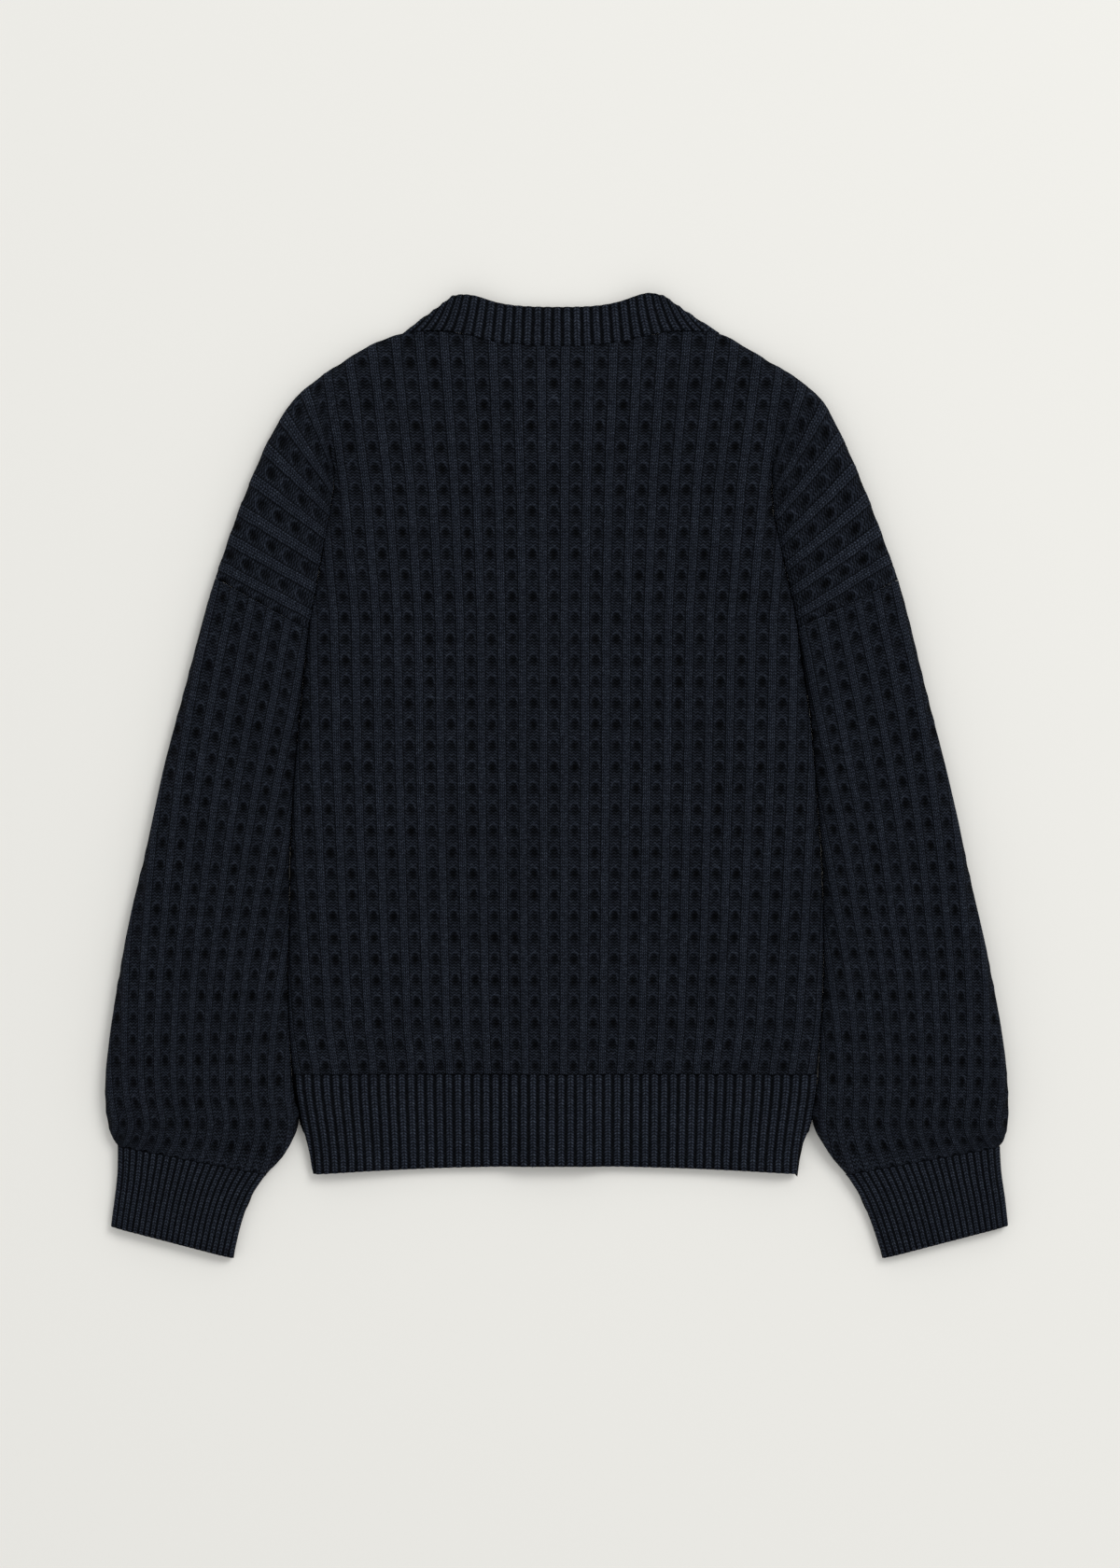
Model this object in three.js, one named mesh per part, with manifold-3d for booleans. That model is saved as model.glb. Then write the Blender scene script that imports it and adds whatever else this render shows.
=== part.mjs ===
// Chunky ribbed cardigan, buttoned and laid flat face down, with its sleeves folded down beside it.
// Millimetres. The garment lies on z = 0, its neck points to +Y and the wearer's left is at -X.
// Every piece is worked out from a plan seen from above and from how thick the layers lie on each other.
import * as THREE from 'three';
import Module from 'manifold-3d';

const wasm = await Module();
wasm.setup();

// ---- driving sizes ----
const SEAM_GAP = 0.3;
const PLY_GAP = 0.3; // between the back layer and the front layer
const PIVOT_Y = 214; // level where the body parts from the sleeves
const HEM_SEAM_Y = -203;
const HEM_MIDDLE_Y = -265.5;
const HEM_CORNER_Y = -271;
const BODY_ROUND = 13; // how far in from the edge the rolled side starts
const UNDER_ROUND = 9;
const EDGE_SHARE = 0.45; // height of the rolled edge as a share of the thickness

const BAND_WIDTH = 28;
const BAND_THICK = 2.6;
const BAND_TOP_Y = 241;
const BAND_BLEND = 40; // the fronts come down to the surface this far from the middle
const BAND_CLEAR = 15.5; // the back lies level over the bands as far as this
const BUTTONHOLE_LONG = 17;
const BUTTONHOLE_WIDE = 1.6;
const BUTTON_RADIUS = 10;
const BUTTON_THICK = 2.5;
const BUTTON_RIM = 1.6;
const BUTTON_DISH = 0.6;
const BUTTON_HOLE_RADIUS = 1.1;
const BUTTON_HOLE_OFFSET = 2.3;
const BUTTON_COUNT = 7;
const BUTTON_TOP_Y = 229;
const BUTTON_LOW_Y = -250;

const HOLE_BAND_Z = BUTTON_THICK + SEAM_GAP;
const BUTTON_BAND_Z = HOLE_BAND_Z + BAND_THICK + SEAM_GAP;
const BACK_OVER_BANDS = { under: BUTTON_BAND_Z + BAND_THICK + PLY_GAP, high: 12.8 };
const BAND_LIFT_FADE = { full: 255, none: 290 };

// ---- plan of the body: a row for each level ----
const bodyEdge = [
  { y: 214, left: -153, right: 146.5 },
  { y: 200, left: -151.9, right: 145.5 },
  { y: 180, left: -154.3, right: 146.4 },
  { y: 150, left: -160.1, right: 152.6 },
  { y: 120, left: -165.2, right: 159.3 },
  { y: 95, left: -169.8, right: 163.5 },
  { y: 50, left: -174, right: 170 },
  { y: 3, left: -178.4, right: 174.6 },
  { y: -45, left: -181.4, right: 178.4 },
  { y: -100, left: -182.2, right: 180.1 },
  { y: -150, left: -182.9, right: 179.6 },
  { y: -203, left: -180.4, right: 176.3 },
  { y: -230, left: -176.2, right: 173.5 },
  { y: -254, left: -169.3, right: 166.1 },
  { y: -271, left: -166.7, right: 163.5 },
];

// how high the layers lie: in the middle, at the sides, and where the back layer starts in the middle
const bodyThickness = [
  { y: 304, middle: 7.8, side: 11, under: 4 },
  { y: 270, middle: 9, side: 13.5, under: 4.6 },
  { y: 214, middle: 10, side: 16, under: 4.7 },
  { y: 60, middle: 9.6, side: 16.5, under: 4.4 },
  { y: -120, middle: 9.6, side: 16.5, under: 4.4 },
  { y: -203, middle: 9, side: 14, under: 4.2 },
  { y: -271, middle: 8, side: 11, under: 3.8 },
];

// shoulder line and back neck seam, left to right
const NECK_END = { left: -106, right: 110 };
const shoulderLine = [
  { x: -161, y: 272.6 },
  { x: -147.6, y: 281.5 },
  { x: -127, y: 294 },
  { x: -106, y: 301.5 },
  { x: -80, y: 303 },
  { x: -58, y: 299.4 },
  { x: -40, y: 295 },
  { x: 0, y: 292.5 },
  { x: 40, y: 295 },
  { x: 60, y: 299.4 },
  { x: 83, y: 303 },
  { x: 110, y: 301.5 },
  { x: 125, y: 294 },
  { x: 146, y: 281.5 },
  { x: 161, y: 272.6 },
];

// free edge of the neckband at the back, left to right
const neckbandTop = [
  { x: -72.4, y: 326.8 },
  { x: -66, y: 327.7 },
  { x: -56, y: 326.8 },
  { x: -41, y: 322.6 },
  { x: -23, y: 320.4 },
  { x: 0, y: 319.8 },
  { x: 23, y: 320.4 },
  { x: 41, y: 323 },
  { x: 56, y: 327.6 },
  { x: 63, y: 328.7 },
  { x: 73, y: 327 },
];
const FRONT_NECK_Y = 214; // front neck seam at the middle

// dropped shoulders: a row for each rib line, from the shoulder fold to the hollow beside the body
const lobe = {
  left: [
    { foldX: -161, foldY: 272.6, hollowX: -153, hollowY: 214 },
    { foldX: -180.1, foldY: 256, hollowX: -153.1, hollowY: 200 },
    { foldX: -196, foldY: 230.5, hollowX: -155, hollowY: 183 },
    { foldX: -207.5, foldY: 205, hollowX: -158.2, hollowY: 165 },
    { foldX: -217.7, foldY: 179.5, hollowX: -162.5, hollowY: 143.5 },
    { foldX: -226, foldY: 156, hollowX: -166.2, hollowY: 121 },
    { foldX: -233, foldY: 134.9, hollowX: -170.2, hollowY: 99.8 },
  ],
  right: [
    { foldX: 161, foldY: 272.6, hollowX: 146.5, hollowY: 214 },
    { foldX: 180, foldY: 256, hollowX: 146.7, hollowY: 199 },
    { foldX: 194, foldY: 230.5, hollowX: 147.5, hollowY: 181 },
    { foldX: 205.2, foldY: 205, hollowX: 151.5, hollowY: 160 },
    { foldX: 215.3, foldY: 179.5, hollowX: 156, hollowY: 140 },
    { foldX: 224.3, foldY: 155, hollowX: 160.5, hollowY: 120 },
    { foldX: 231.8, foldY: 133.6, hollowX: 164, hollowY: 101 },
  ],
};

// sleeves: a row for each section, from the armhole seam to the cuff
const sleeve = {
  left: [
    { foldX: -233, foldY: 134.9, hollowX: -170.2, hollowY: 99.8 },
    { foldX: -240, foldY: 112, hollowX: -172.6, hollowY: 78 },
    { foldX: -252.8, foldY: 64.7, hollowX: -176.1, hollowY: 40 },
    { foldX: -266.2, foldY: 13.7, hollowX: -180, hollowY: -3 },
    { foldX: -277.5, foldY: -37.3, hollowX: -182.7, hollowY: -46 },
    { foldX: -289.3, foldY: -88.3, hollowX: -183.4, hollowY: -92 },
    { foldX: -299.4, foldY: -139.3, hollowX: -184, hollowY: -140 },
    { foldX: -306.2, foldY: -188, hollowX: -183, hollowY: -185 },
    { foldX: -308.3, foldY: -215, hollowX: -180.2, hollowY: -214 },
    { foldX: -306.8, foldY: -236, hollowX: -176.4, hollowY: -236 },
    { foldX: -303, foldY: -246.5, hollowX: -186, hollowY: -257 },
    { foldX: -300.2, foldY: -251.5, hollowX: -198.2, hollowY: -271.1 },
  ],
  right: [
    { foldX: 231.8, foldY: 133.6, hollowX: 164, hollowY: 101 },
    { foldX: 238, foldY: 112, hollowX: 166.8, hollowY: 78 },
    { foldX: 249.6, foldY: 64.7, hollowX: 172, hollowY: 44 },
    { foldX: 262.4, foldY: 13.7, hollowX: 176, hollowY: 1 },
    { foldX: 274.2, foldY: -37.3, hollowX: 179.6, hollowY: -42 },
    { foldX: 285.2, foldY: -88.3, hollowX: 181.3, hollowY: -90 },
    { foldX: 296.4, foldY: -139.3, hollowX: 181.3, hollowY: -138 },
    { foldX: 304.3, foldY: -188, hollowX: 179.1, hollowY: -184 },
    { foldX: 306.9, foldY: -215, hollowX: 176.7, hollowY: -213 },
    { foldX: 306.8, foldY: -237, hollowX: 173.9, hollowY: -236 },
    { foldX: 304.2, foldY: -247, hollowX: 184.5, hollowY: -256 },
    { foldX: 301.8, foldY: -252, hollowX: 196.1, hollowY: -271.1 },
  ],
};

const cuff = {
  left: [
    { foldX: -300.2, foldY: -251.5, hollowX: -198.2, hollowY: -271.1 },
    { foldX: -300.6, foldY: -270, hollowX: -208, hollowY: -286 },
    { foldX: -302.6, foldY: -288, hollowX: -215, hollowY: -304 },
    { foldX: -305.1, foldY: -306.7, hollowX: -220.9, hollowY: -328.7 },
  ],
  right: [
    { foldX: 301.8, foldY: -252, hollowX: 196.1, hollowY: -271.1 },
    { foldX: 303, foldY: -270, hollowX: 206, hollowY: -287 },
    { foldX: 305.6, foldY: -288, hollowX: 213.6, hollowY: -305 },
    { foldX: 307.6, foldY: -306.2, hollowX: 221.4, hollowY: -328.7 },
  ],
};

// thickness down the arm, by distance measured square to the cuff
const ARM_SLANT = 0.2;
const ARM_MIDDLE_X = 250;
const armThickness = [
  { down: 300, high: 12.5 },
  { down: 233, high: 16 },
  { down: 130, high: 16.5 },
  { down: 0, high: 17 },
  { down: -150, high: 18 },
  { down: -225, high: 17.5 },
  { down: -261, high: 12.5 },
  { down: -290, high: 9.6 },
  { down: -325, high: 9.2 },
];
const SLIT_HIGH = 1.2; // inside a sleeve or cuff, between its two plies
const SLIT_INSET = 9;

// ---- mesh counts ----
const LOBE_COLUMNS = 8;
const SHOULDER_ROWS = 6;
const BODY_ROWS = 12;
const HEM_ROWS = 3;
const ARM_COLUMNS = 12;
const SLEEVE_ROWS = 14;
const CUFF_ROWS = 4;
const NECK_COLUMNS = 4;
const EDGE_COLUMNS = 6;
const BAND_ROWS = 3;

const NAVY = 0x1b2029;
const NAVY_RIB = 0x191e27;
const BUTTON_NAVY = 0x14161b;

// ---- small helpers ----
const mix = (a, b, t) => a + (b - a) * t;
const clamp01 = (t) => Math.min(1, Math.max(0, t));
const ease = (t) => clamp01(t) ** 2 * (3 - 2 * clamp01(t));
const easeBetween = (from, to, value) => ease((value - from) / (to - from));

// value of a named column of a table at a level, with the rows in falling order of `key`
function tableValue(table, key, column, at) {
  if (at >= table[0][key]) return table[0][column];
  for (let i = 1; i < table.length; i += 1) {
    if (at >= table[i][key]) {
      const share = (table[i - 1][key] - at) / (table[i - 1][key] - table[i][key]);
      return mix(table[i - 1][column], table[i][column], share);
    }
  }
  return table[table.length - 1][column];
}

function splineThrough(rows, xColumn, yColumn) {
  const points = rows.map((row) => new THREE.Vector3(row[xColumn], row[yColumn], 0));
  return new THREE.CatmullRomCurve3(points, false, 'centripetal');
}

const shoulderCurve = splineThrough(shoulderLine, 'x', 'y');
const neckbandTopCurve = splineThrough(neckbandTop, 'x', 'y');
const bodyCurve = {
  left: splineThrough(bodyEdge, 'left', 'y'),
  right: splineThrough(bodyEdge, 'right', 'y'),
};

// a curve that never turns back in x (or y) read at one x (or y)
function curveReader(curve, from, to, samples = 240) {
  const points = curve.getPoints(samples).sort((a, b) => a[from] - b[from]);
  return (at) => {
    const last = points.length - 1;
    const next = Math.min(last, Math.max(1, points.findIndex((point) => point[from] >= at)));
    const index = at > points[last][from] ? last : next;
    const a = points[index - 1];
    const b = points[index];
    return mix(a[to], b[to], clamp01((at - a[from]) / (b[from] - a[from])));
  };
}

const shoulderY = curveReader(shoulderCurve, 'x', 'y');
const neckbandTopY = curveReader(neckbandTopCurve, 'x', 'y');
const bodyX = {
  left: curveReader(bodyCurve.left, 'y', 'x'),
  right: curveReader(bodyCurve.right, 'y', 'x'),
};
const sideOf = (x) => (x < 0 ? 'left' : 'right');
const SIGN = { left: -1, right: 1 };

// distance from (x, y) to the nearest rolled edge of the garment
const rolledEdges = ['left', 'right'].flatMap((side) => {
  const shoulder = shoulderCurve.getPoints(120).filter((p) => SIGN[side] * (p.x - NECK_END[side]) >= 0);
  const end = side === 'left' ? neckbandTop[0] : neckbandTop[neckbandTop.length - 1];
  const neckEnd = { x: NECK_END[side], y: shoulderY(NECK_END[side]) };
  const arm = [lobe[side], sleeve[side], cuff[side]];
  return [
    shoulder,
    [end, neckEnd],
    bodyCurve[side].getPoints(120),
    ...arm.map((rows) => splineThrough(rows, 'foldX', 'foldY').getPoints(60)),
    ...arm.map((rows) => splineThrough(rows, 'hollowX', 'hollowY').getPoints(60)),
  ];
});

function distanceToEdge(x, y) {
  let nearest = Infinity;
  for (const line of rolledEdges) {
    for (let i = 1; i < line.length; i += 1) {
      const dx = line[i].x - line[i - 1].x;
      const dy = line[i].y - line[i - 1].y;
      const along = clamp01(((x - line[i - 1].x) * dx + (y - line[i - 1].y) * dy) / (dx * dx + dy * dy));
      nearest = Math.min(nearest, Math.hypot(x - line[i - 1].x - along * dx, y - line[i - 1].y - along * dy));
    }
  }
  return nearest;
}

const ON_EDGE = 0.12;
function roundIn(distance, reach) {
  if (distance < ON_EDGE) return 0;
  const inside = Math.min(1, distance / reach);
  return Math.sqrt(1 - (1 - inside) ** 2);
}

// ---- how the layers lie ----
function halfWidth(side, y) {
  const fold = lobe[side][0];
  if (y <= PIVOT_Y) return Math.abs(bodyX[side](y));
  return mix(Math.abs(fold.hollowX), Math.abs(fold.foldX), clamp01((y - PIVOT_Y) / (fold.foldY - PIVOT_Y)));
}

// share of the lift that the bands give: 1 over the bands, 0 well away from them
function bandLift(x, y) {
  const across = 1 - easeBetween(BAND_CLEAR, BAND_BLEND, Math.abs(x));
  return across * easeBetween(BAND_LIFT_FADE.none, BAND_LIFT_FADE.full, y);
}

function bodyLayers(x, y) {
  const toSide = easeBetween(0.45, 0.95, Math.abs(x) / halfWidth(sideOf(x), y));
  const side = tableValue(bodyThickness, 'y', 'side', y);
  const high = mix(tableValue(bodyThickness, 'y', 'middle', y), side, toSide);
  const between = mix(tableValue(bodyThickness, 'y', 'under', y), EDGE_SHARE * side, toSide);
  return { high, between };
}

function armLayers(x, y) {
  const down = y - ARM_SLANT * (Math.abs(x) - ARM_MIDDLE_X);
  const high = tableValue(armThickness, 'down', 'high', down);
  return { high, between: EDGE_SHARE * high };
}

// heights of a back piece's upper and lower face
function backFaces(layersAt) {
  return (x, y) => {
    const { high, between } = layersAt(x, y);
    const lift = layersAt === bodyLayers ? bandLift(x, y) : 0;
    const bottom = mix(between, BACK_OVER_BANDS.under, lift) + PLY_GAP / 2;
    const full = mix(high, BACK_OVER_BANDS.high, lift);
    return { top: mix(bottom, full, roundIn(distanceToEdge(x, y), BODY_ROUND)), bottom };
  };
}

// heights of a front piece's upper and lower face; each front climbs to its own band
function frontFaces(layersAt, bandZ) {
  return (x, y) => {
    const { between } = layersAt(x, y);
    const lift = layersAt === bodyLayers ? bandLift(x, Math.min(y, BAND_LIFT_FADE.full)) : 0;
    const top = mix(between - PLY_GAP / 2, bandZ + BAND_THICK, lift);
    return { top, bottom: mix(top, bandZ * lift, roundIn(distanceToEdge(x, y), UNDER_ROUND)) };
  };
}

// ---- solids from a plan and two heights ----
const spread = (count) => Array.from({ length: count + 1 }, (_, i) => 0.5 - 0.5 * Math.cos((Math.PI * i) / count));
const even = (count) => Array.from({ length: count + 1 }, (_, i) => i / count);

// plan patches are grids of { x, y }, and patches that share points grow together
function slab(patches) {
  const index = new Map();
  const points = [];
  const quads = [];
  const place = ({ x, y }, faces) => {
    const key = `${Math.round(x * 50)},${Math.round(y * 50)}`;
    if (!index.has(key)) {
      const { top, bottom } = faces(x, y);
      index.set(key, points.length);
      points.push({ x, y, top, bottom, welded: top - bottom < 0.02 });
    }
    return index.get(key);
  };
  for (const { grid, faces } of patches) {
    const ids = grid.map((row) => row.map((point) => place(point, faces)));
    for (let r = 1; r < ids.length; r += 1) {
      for (let c = 1; c < ids[r].length; c += 1) {
        quads.push([ids[r - 1][c - 1], ids[r - 1][c], ids[r][c], ids[r][c - 1]]);
      }
    }
  }
  return solidFromQuads(points, quads);
}

function solidFromQuads(points, quads) {
  const position = [];
  const topId = points.map((p) => position.push([p.x, p.y, p.top]) - 1);
  const bottomId = points.map((p, i) => (p.welded ? topId[i] : position.push([p.x, p.y, p.bottom]) - 1));
  const triangles = [];
  const edges = new Map();
  const add = (a, b, c) => {
    if (a !== b && b !== c && c !== a) triangles.push([a, b, c]);
  };
  for (const corners of quads) {
    const ring = corners.filter((id, i) => id !== corners[(i + 1) % corners.length]);
    const turned = ringArea(ring.map((id) => points[id])) < 0 ? [...ring].reverse() : ring;
    for (let i = 2; i < turned.length; i += 1) {
      add(topId[turned[0]], topId[turned[i - 1]], topId[turned[i]]);
      add(bottomId[turned[0]], bottomId[turned[i]], bottomId[turned[i - 1]]);
    }
    turned.forEach((from, i) => {
      const to = turned[(i + 1) % turned.length];
      if (!edges.delete(`${to}>${from}`)) edges.set(`${from}>${to}`, [from, to]);
    });
  }
  for (const [from, to] of edges.values()) {
    add(topId[from], bottomId[from], bottomId[to]);
    add(topId[from], bottomId[to], topId[to]);
  }
  return toGeometry(position.flat(), triangles.flat());
}

function ringArea(ring) {
  return ring.reduce((sum, p, i) => {
    const q = ring[(i + 1) % ring.length];
    return sum + (p.x * q.y - q.x * p.y) / 2;
  }, 0);
}

function toGeometry(position, triangles) {
  const geometry = new THREE.BufferGeometry();
  geometry.setAttribute('position', new THREE.Float32BufferAttribute(position, 3));
  geometry.setIndex(triangles);
  return geometry;
}

function toManifold(geometry) {
  const vertProperties = new Float32Array(geometry.attributes.position.array);
  const triVerts = new Uint32Array(geometry.index.array);
  return new wasm.Manifold(new wasm.Mesh({ numProp: 3, vertProperties, triVerts }));
}

function fromManifold(solid) {
  const mesh = solid.getMesh();
  return toGeometry(Array.from(mesh.vertProperties), Array.from(mesh.triVerts));
}

// ---- plan grids ----
// body columns, named by where they reach the shoulder line
function bodyColumns(side, innermost) {
  const widest = Math.abs(lobe[side][0].foldX);
  const neck = Math.abs(NECK_END[side]);
  const toNeck = even(NECK_COLUMNS).map((share) => mix(BAND_BLEND, neck, Math.sin((share * Math.PI) / 2)));
  const toEdge = even(EDGE_COLUMNS).map((share) => mix(neck, widest, Math.sin((share * Math.PI) / 2)));
  return [innermost, ...toNeck, ...toEdge.slice(1)].map((column) => SIGN[side] * column);
}

const backColumns = () => [...bodyColumns('left', BAND_CLEAR).reverse(), ...bodyColumns('right', BAND_CLEAR)];

function columnX(column, y) {
  const side = sideOf(column);
  const widest = Math.abs(lobe[side][0].foldX);
  const beyond = Math.max(0, Math.abs(column) - BAND_CLEAR) / (widest - BAND_CLEAR);
  const kept = Math.min(Math.abs(column), BAND_CLEAR);
  return SIGN[side] * (kept + beyond * (halfWidth(side, y) - BAND_CLEAR));
}

function bodyGrid(columns, topY) {
  const levels = even(BODY_ROWS).map((share) => mix(HEM_SEAM_Y + SEAM_GAP / 2, PIVOT_Y, share));
  const lower = levels.map((y) => columns.map((column) => ({ x: columnX(column, y), y })));
  const upper = spread(SHOULDER_ROWS).slice(1).map((share) => columns.map((column) => {
    const x = mix(columnX(column, PIVOT_Y), column, share);
    return { x, y: mix(PIVOT_Y, topY(column), share) };
  }));
  return [...lower, ...upper];
}

function armGrid(rows, along, across, gapStart = 0) {
  const fold = splineThrough(rows, 'foldX', 'foldY');
  const hollow = splineThrough(rows, 'hollowX', 'hollowY');
  return along.map((share) => {
    const a = hollow.getPoint(share);
    const b = fold.getPoint(share);
    if (share === 0 && gapStart) shiftAlongArm(a, b, gapStart);
    return across.map((t) => ({ x: mix(a.x, b.x, t), y: mix(a.y, b.y, t) }));
  });
}

// moves a section square to itself, away from the neck
function shiftAlongArm(a, b, by) {
  const length = a.distanceTo(b);
  const towardsCuff = b.x < a.x ? 1 : -1;
  const dx = (-(b.y - a.y) / length) * by * towardsCuff;
  const dy = ((b.x - a.x) / length) * by * towardsCuff;
  a.set(a.x + dx, a.y + dy, 0);
  b.set(b.x + dx, b.y + dy, 0);
}

function lobeGrid(side) {
  return armGrid(lobe[side], even(LOBE_COLUMNS), spread(SHOULDER_ROWS));
}

function hemGrid(columns) {
  return even(HEM_ROWS).map((share) => columns.map((column) => {
    const top = HEM_SEAM_Y - SEAM_GAP / 2;
    const corner = (columnX(column, HEM_CORNER_Y) / halfWidth(sideOf(column), HEM_CORNER_Y)) ** 2;
    const y = mix(top, mix(HEM_MIDDLE_Y, HEM_CORNER_Y, corner), share);
    return { x: columnX(column, y), y };
  }));
}

// ---- panels ----
function makeBack() {
  const columns = backColumns();
  return slab([
    { grid: bodyGrid(columns, shoulderY), faces: backFaces(bodyLayers) },
    { grid: lobeGrid('left'), faces: backFaces(armLayers) },
    { grid: lobeGrid('right'), faces: backFaces(armLayers) },
  ]);
}

const FRONT_START = BAND_WIDTH / 2 + SEAM_GAP;

// front neck seam: a quarter ellipse from the shoulder down to the band
function frontNeckY(side, x) {
  const reach = Math.abs(NECK_END[side]) - FRONT_START;
  const out = clamp01((Math.abs(x) - FRONT_START) / reach);
  const shoulder = shoulderY(NECK_END[side]);
  return shoulder - (shoulder - FRONT_NECK_Y) * Math.sqrt(1 - out ** 2);
}

function makeFront(side, bandZ) {
  const columns = bodyColumns(side, FRONT_START);
  const isNeck = (x) => Math.abs(x) < Math.abs(NECK_END[side]);
  const topY = (x) => (isNeck(x) ? frontNeckY(side, x) : shoulderY(x));
  return slab([
    { grid: bodyGrid(columns, topY), faces: frontFaces(bodyLayers, bandZ) },
    { grid: lobeGrid(side), faces: frontFaces(armLayers, bandZ) },
  ]);
}

function makeBackHem() {
  return slab([{ grid: hemGrid(backColumns()), faces: backFaces(bodyLayers) }]);
}

function makeFrontHem(side, bandZ) {
  return slab([{ grid: hemGrid(bodyColumns(side, FRONT_START)), faces: frontFaces(bodyLayers, bandZ) }]);
}

// ---- sleeves and cuffs: flattened tubes with a slit between their plies ----
function tubeFaces(x, y) {
  const { high, between } = armLayers(x, y);
  const distance = distanceToEdge(x, y);
  return {
    top: mix(between, high, roundIn(distance, BODY_ROUND)),
    bottom: mix(between, 0, roundIn(distance, UNDER_ROUND)),
  };
}

function slitFaces(x, y) {
  const { between } = armLayers(x, y);
  return { top: between + SLIT_HIGH / 2, bottom: between - SLIT_HIGH / 2 };
}

function makeTube(rows, rowCount) {
  const outside = armGrid(rows, even(rowCount), spread(ARM_COLUMNS), SEAM_GAP);
  const solid = toManifold(slab([{ grid: outside, faces: tubeFaces }]));
  const inset = even(4).map((t) => {
    const first = outside[0];
    const width = Math.hypot(first[0].x - first.at(-1).x, first[0].y - first.at(-1).y);
    return mix(SLIT_INSET / width, 1 - SLIT_INSET / width, t);
  });
  const beyond = [-0.06, ...even(rowCount / 2), 1.06];
  const slit = toManifold(slab([{ grid: armGridBeyond(rows, beyond, inset), faces: slitFaces }]));
  return fromManifold(solid.subtract(slit));
}

// the same sections carried on past both ends
function armGridBeyond(rows, along, across) {
  const fold = splineThrough(rows, 'foldX', 'foldY');
  const hollow = splineThrough(rows, 'hollowX', 'hollowY');
  const reach = (curve, share) => {
    const end = curve.getPoint(clamp01(share));
    const before = curve.getPoint(clamp01(share) === 0 ? 0.05 : 0.95);
    const past = Math.abs(share - clamp01(share)) / 0.05;
    return past > 0 ? end.clone().add(end.clone().sub(before).multiplyScalar(past)) : end;
  };
  return along.map((share) => across.map((t) => {
    const a = reach(hollow, share);
    const b = reach(fold, share);
    return { x: mix(a.x, b.x, t), y: mix(a.y, b.y, t) };
  }));
}

// ---- neckband: one strip round the neck, folded over at the shoulders ----
const NECK_FOLD_WIDTH = 7;
const neckTopEnd = { left: neckbandTop[0], right: neckbandTop[neckbandTop.length - 1] };

// back of the band: it meets the back at the back's own columns, with two more by each fold
function backNeckGrid() {
  const inside = backColumns().filter((x) => x > NECK_END.left + 1 && x < NECK_END.right - 1);
  const nearFold = [0, 2.5];
  const columns = [
    ...nearFold.map((inset) => NECK_END.left + inset),
    ...inside,
    ...nearFold.map((inset) => NECK_END.right - inset).reverse(),
  ];
  return even(BAND_ROWS).map((rise) => columns.map((seamX) => {
    const share = (seamX - NECK_END.left) / (NECK_END.right - NECK_END.left);
    const topX = mix(neckTopEnd.left.x, neckTopEnd.right.x, share);
    return { x: mix(seamX, topX, rise), y: mix(shoulderY(seamX) + SEAM_GAP, neckbandTopY(topX), rise) };
  }));
}

// front of the band: it meets the front at the front's own columns, from the fold to the button band
function frontNeckGrid(side) {
  const end = neckTopEnd[side];
  const neck = Math.abs(NECK_END[side]);
  const columns = bodyColumns(side, FRONT_START).map(Math.abs).filter((x) => x < neck + 1);
  return even(BAND_ROWS).map((rise) => columns.map((column) => {
    const angle = Math.acos(clamp01((column - FRONT_START) / (neck - FRONT_START)));
    const seamX = Math.max(FRONT_START, column - SEAM_GAP * Math.cos(angle));
    const seamY = frontNeckY(side, column) + SEAM_GAP * Math.max(Math.sin(angle), 0.5);
    const topX = FRONT_START + (Math.abs(end.x) - FRONT_START) * Math.cos(angle);
    const topY = end.y - (end.y - BAND_TOP_Y) * Math.sin(angle);
    return { x: SIGN[side] * mix(seamX, topX, rise), y: mix(seamY, topY, rise) };
  }));
}

// where the strip turns over: full thickness from the surface up
function neckFoldGrid(side) {
  const end = neckTopEnd[side];
  const inward = -SIGN[side] * NECK_FOLD_WIDTH;
  return even(BAND_ROWS).map((rise) => even(2).map((share) => {
    const seamX = NECK_END[side] + inward * share;
    const topX = end.x + inward * share;
    return { x: mix(seamX, topX, rise), y: mix(shoulderY(seamX) + SEAM_GAP, neckbandTopY(topX), rise) };
  }));
}

// the back of the band sinks from the neck seam to its free edge, and is full at the folds
function neckLayers(x, y) {
  const rise = clamp01((y - shoulderY(x)) / (neckbandTopY(x) - shoulderY(x)));
  const out = easeBetween(45, 80, Math.abs(x) + 0.9 * (y - shoulderY(NECK_END[sideOf(x)])));
  return { high: mix(mix(7.8, 5.2, rise), 10.5, out), between: mix(mix(4.2, 1.2, rise), 4.7, out) };
}

function neckBackFaces(x, y) {
  const { high, between } = neckLayers(x, y);
  return { top: mix(between, high, roundIn(distanceToEdge(x, y), UNDER_ROUND)), bottom: between };
}

function neckFoldFaces(x, y) {
  const { high, between } = neckLayers(x, y);
  const round = roundIn(distanceToEdge(x, y), UNDER_ROUND);
  return { top: mix(between, high, round), bottom: mix(between, 0, round) };
}

function neckFrontFaces(bandZ) {
  return (x, y) => {
    const lift = bandLift(x, BAND_LIFT_FADE.full);
    const top = mix(3.6, bandZ + BAND_THICK, lift);
    return { top, bottom: mix(top, bandZ * lift, roundIn(distanceToEdge(x, y), UNDER_ROUND)) };
  };
}

function makeNeckband() {
  const parts = [{ grid: backNeckGrid(), faces: neckBackFaces }];
  for (const side of ['left', 'right']) {
    const bandZ = side === 'left' ? BUTTON_BAND_Z : HOLE_BAND_Z;
    parts.push({ grid: frontNeckGrid(side), faces: neckFrontFaces(bandZ) });
    parts.push({ grid: neckFoldGrid(side), faces: neckFoldFaces });
  }
  const solids = parts.map((part) => toManifold(slab([part])));
  return fromManifold(solids.reduce((whole, next) => whole.add(next)));
}

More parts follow.
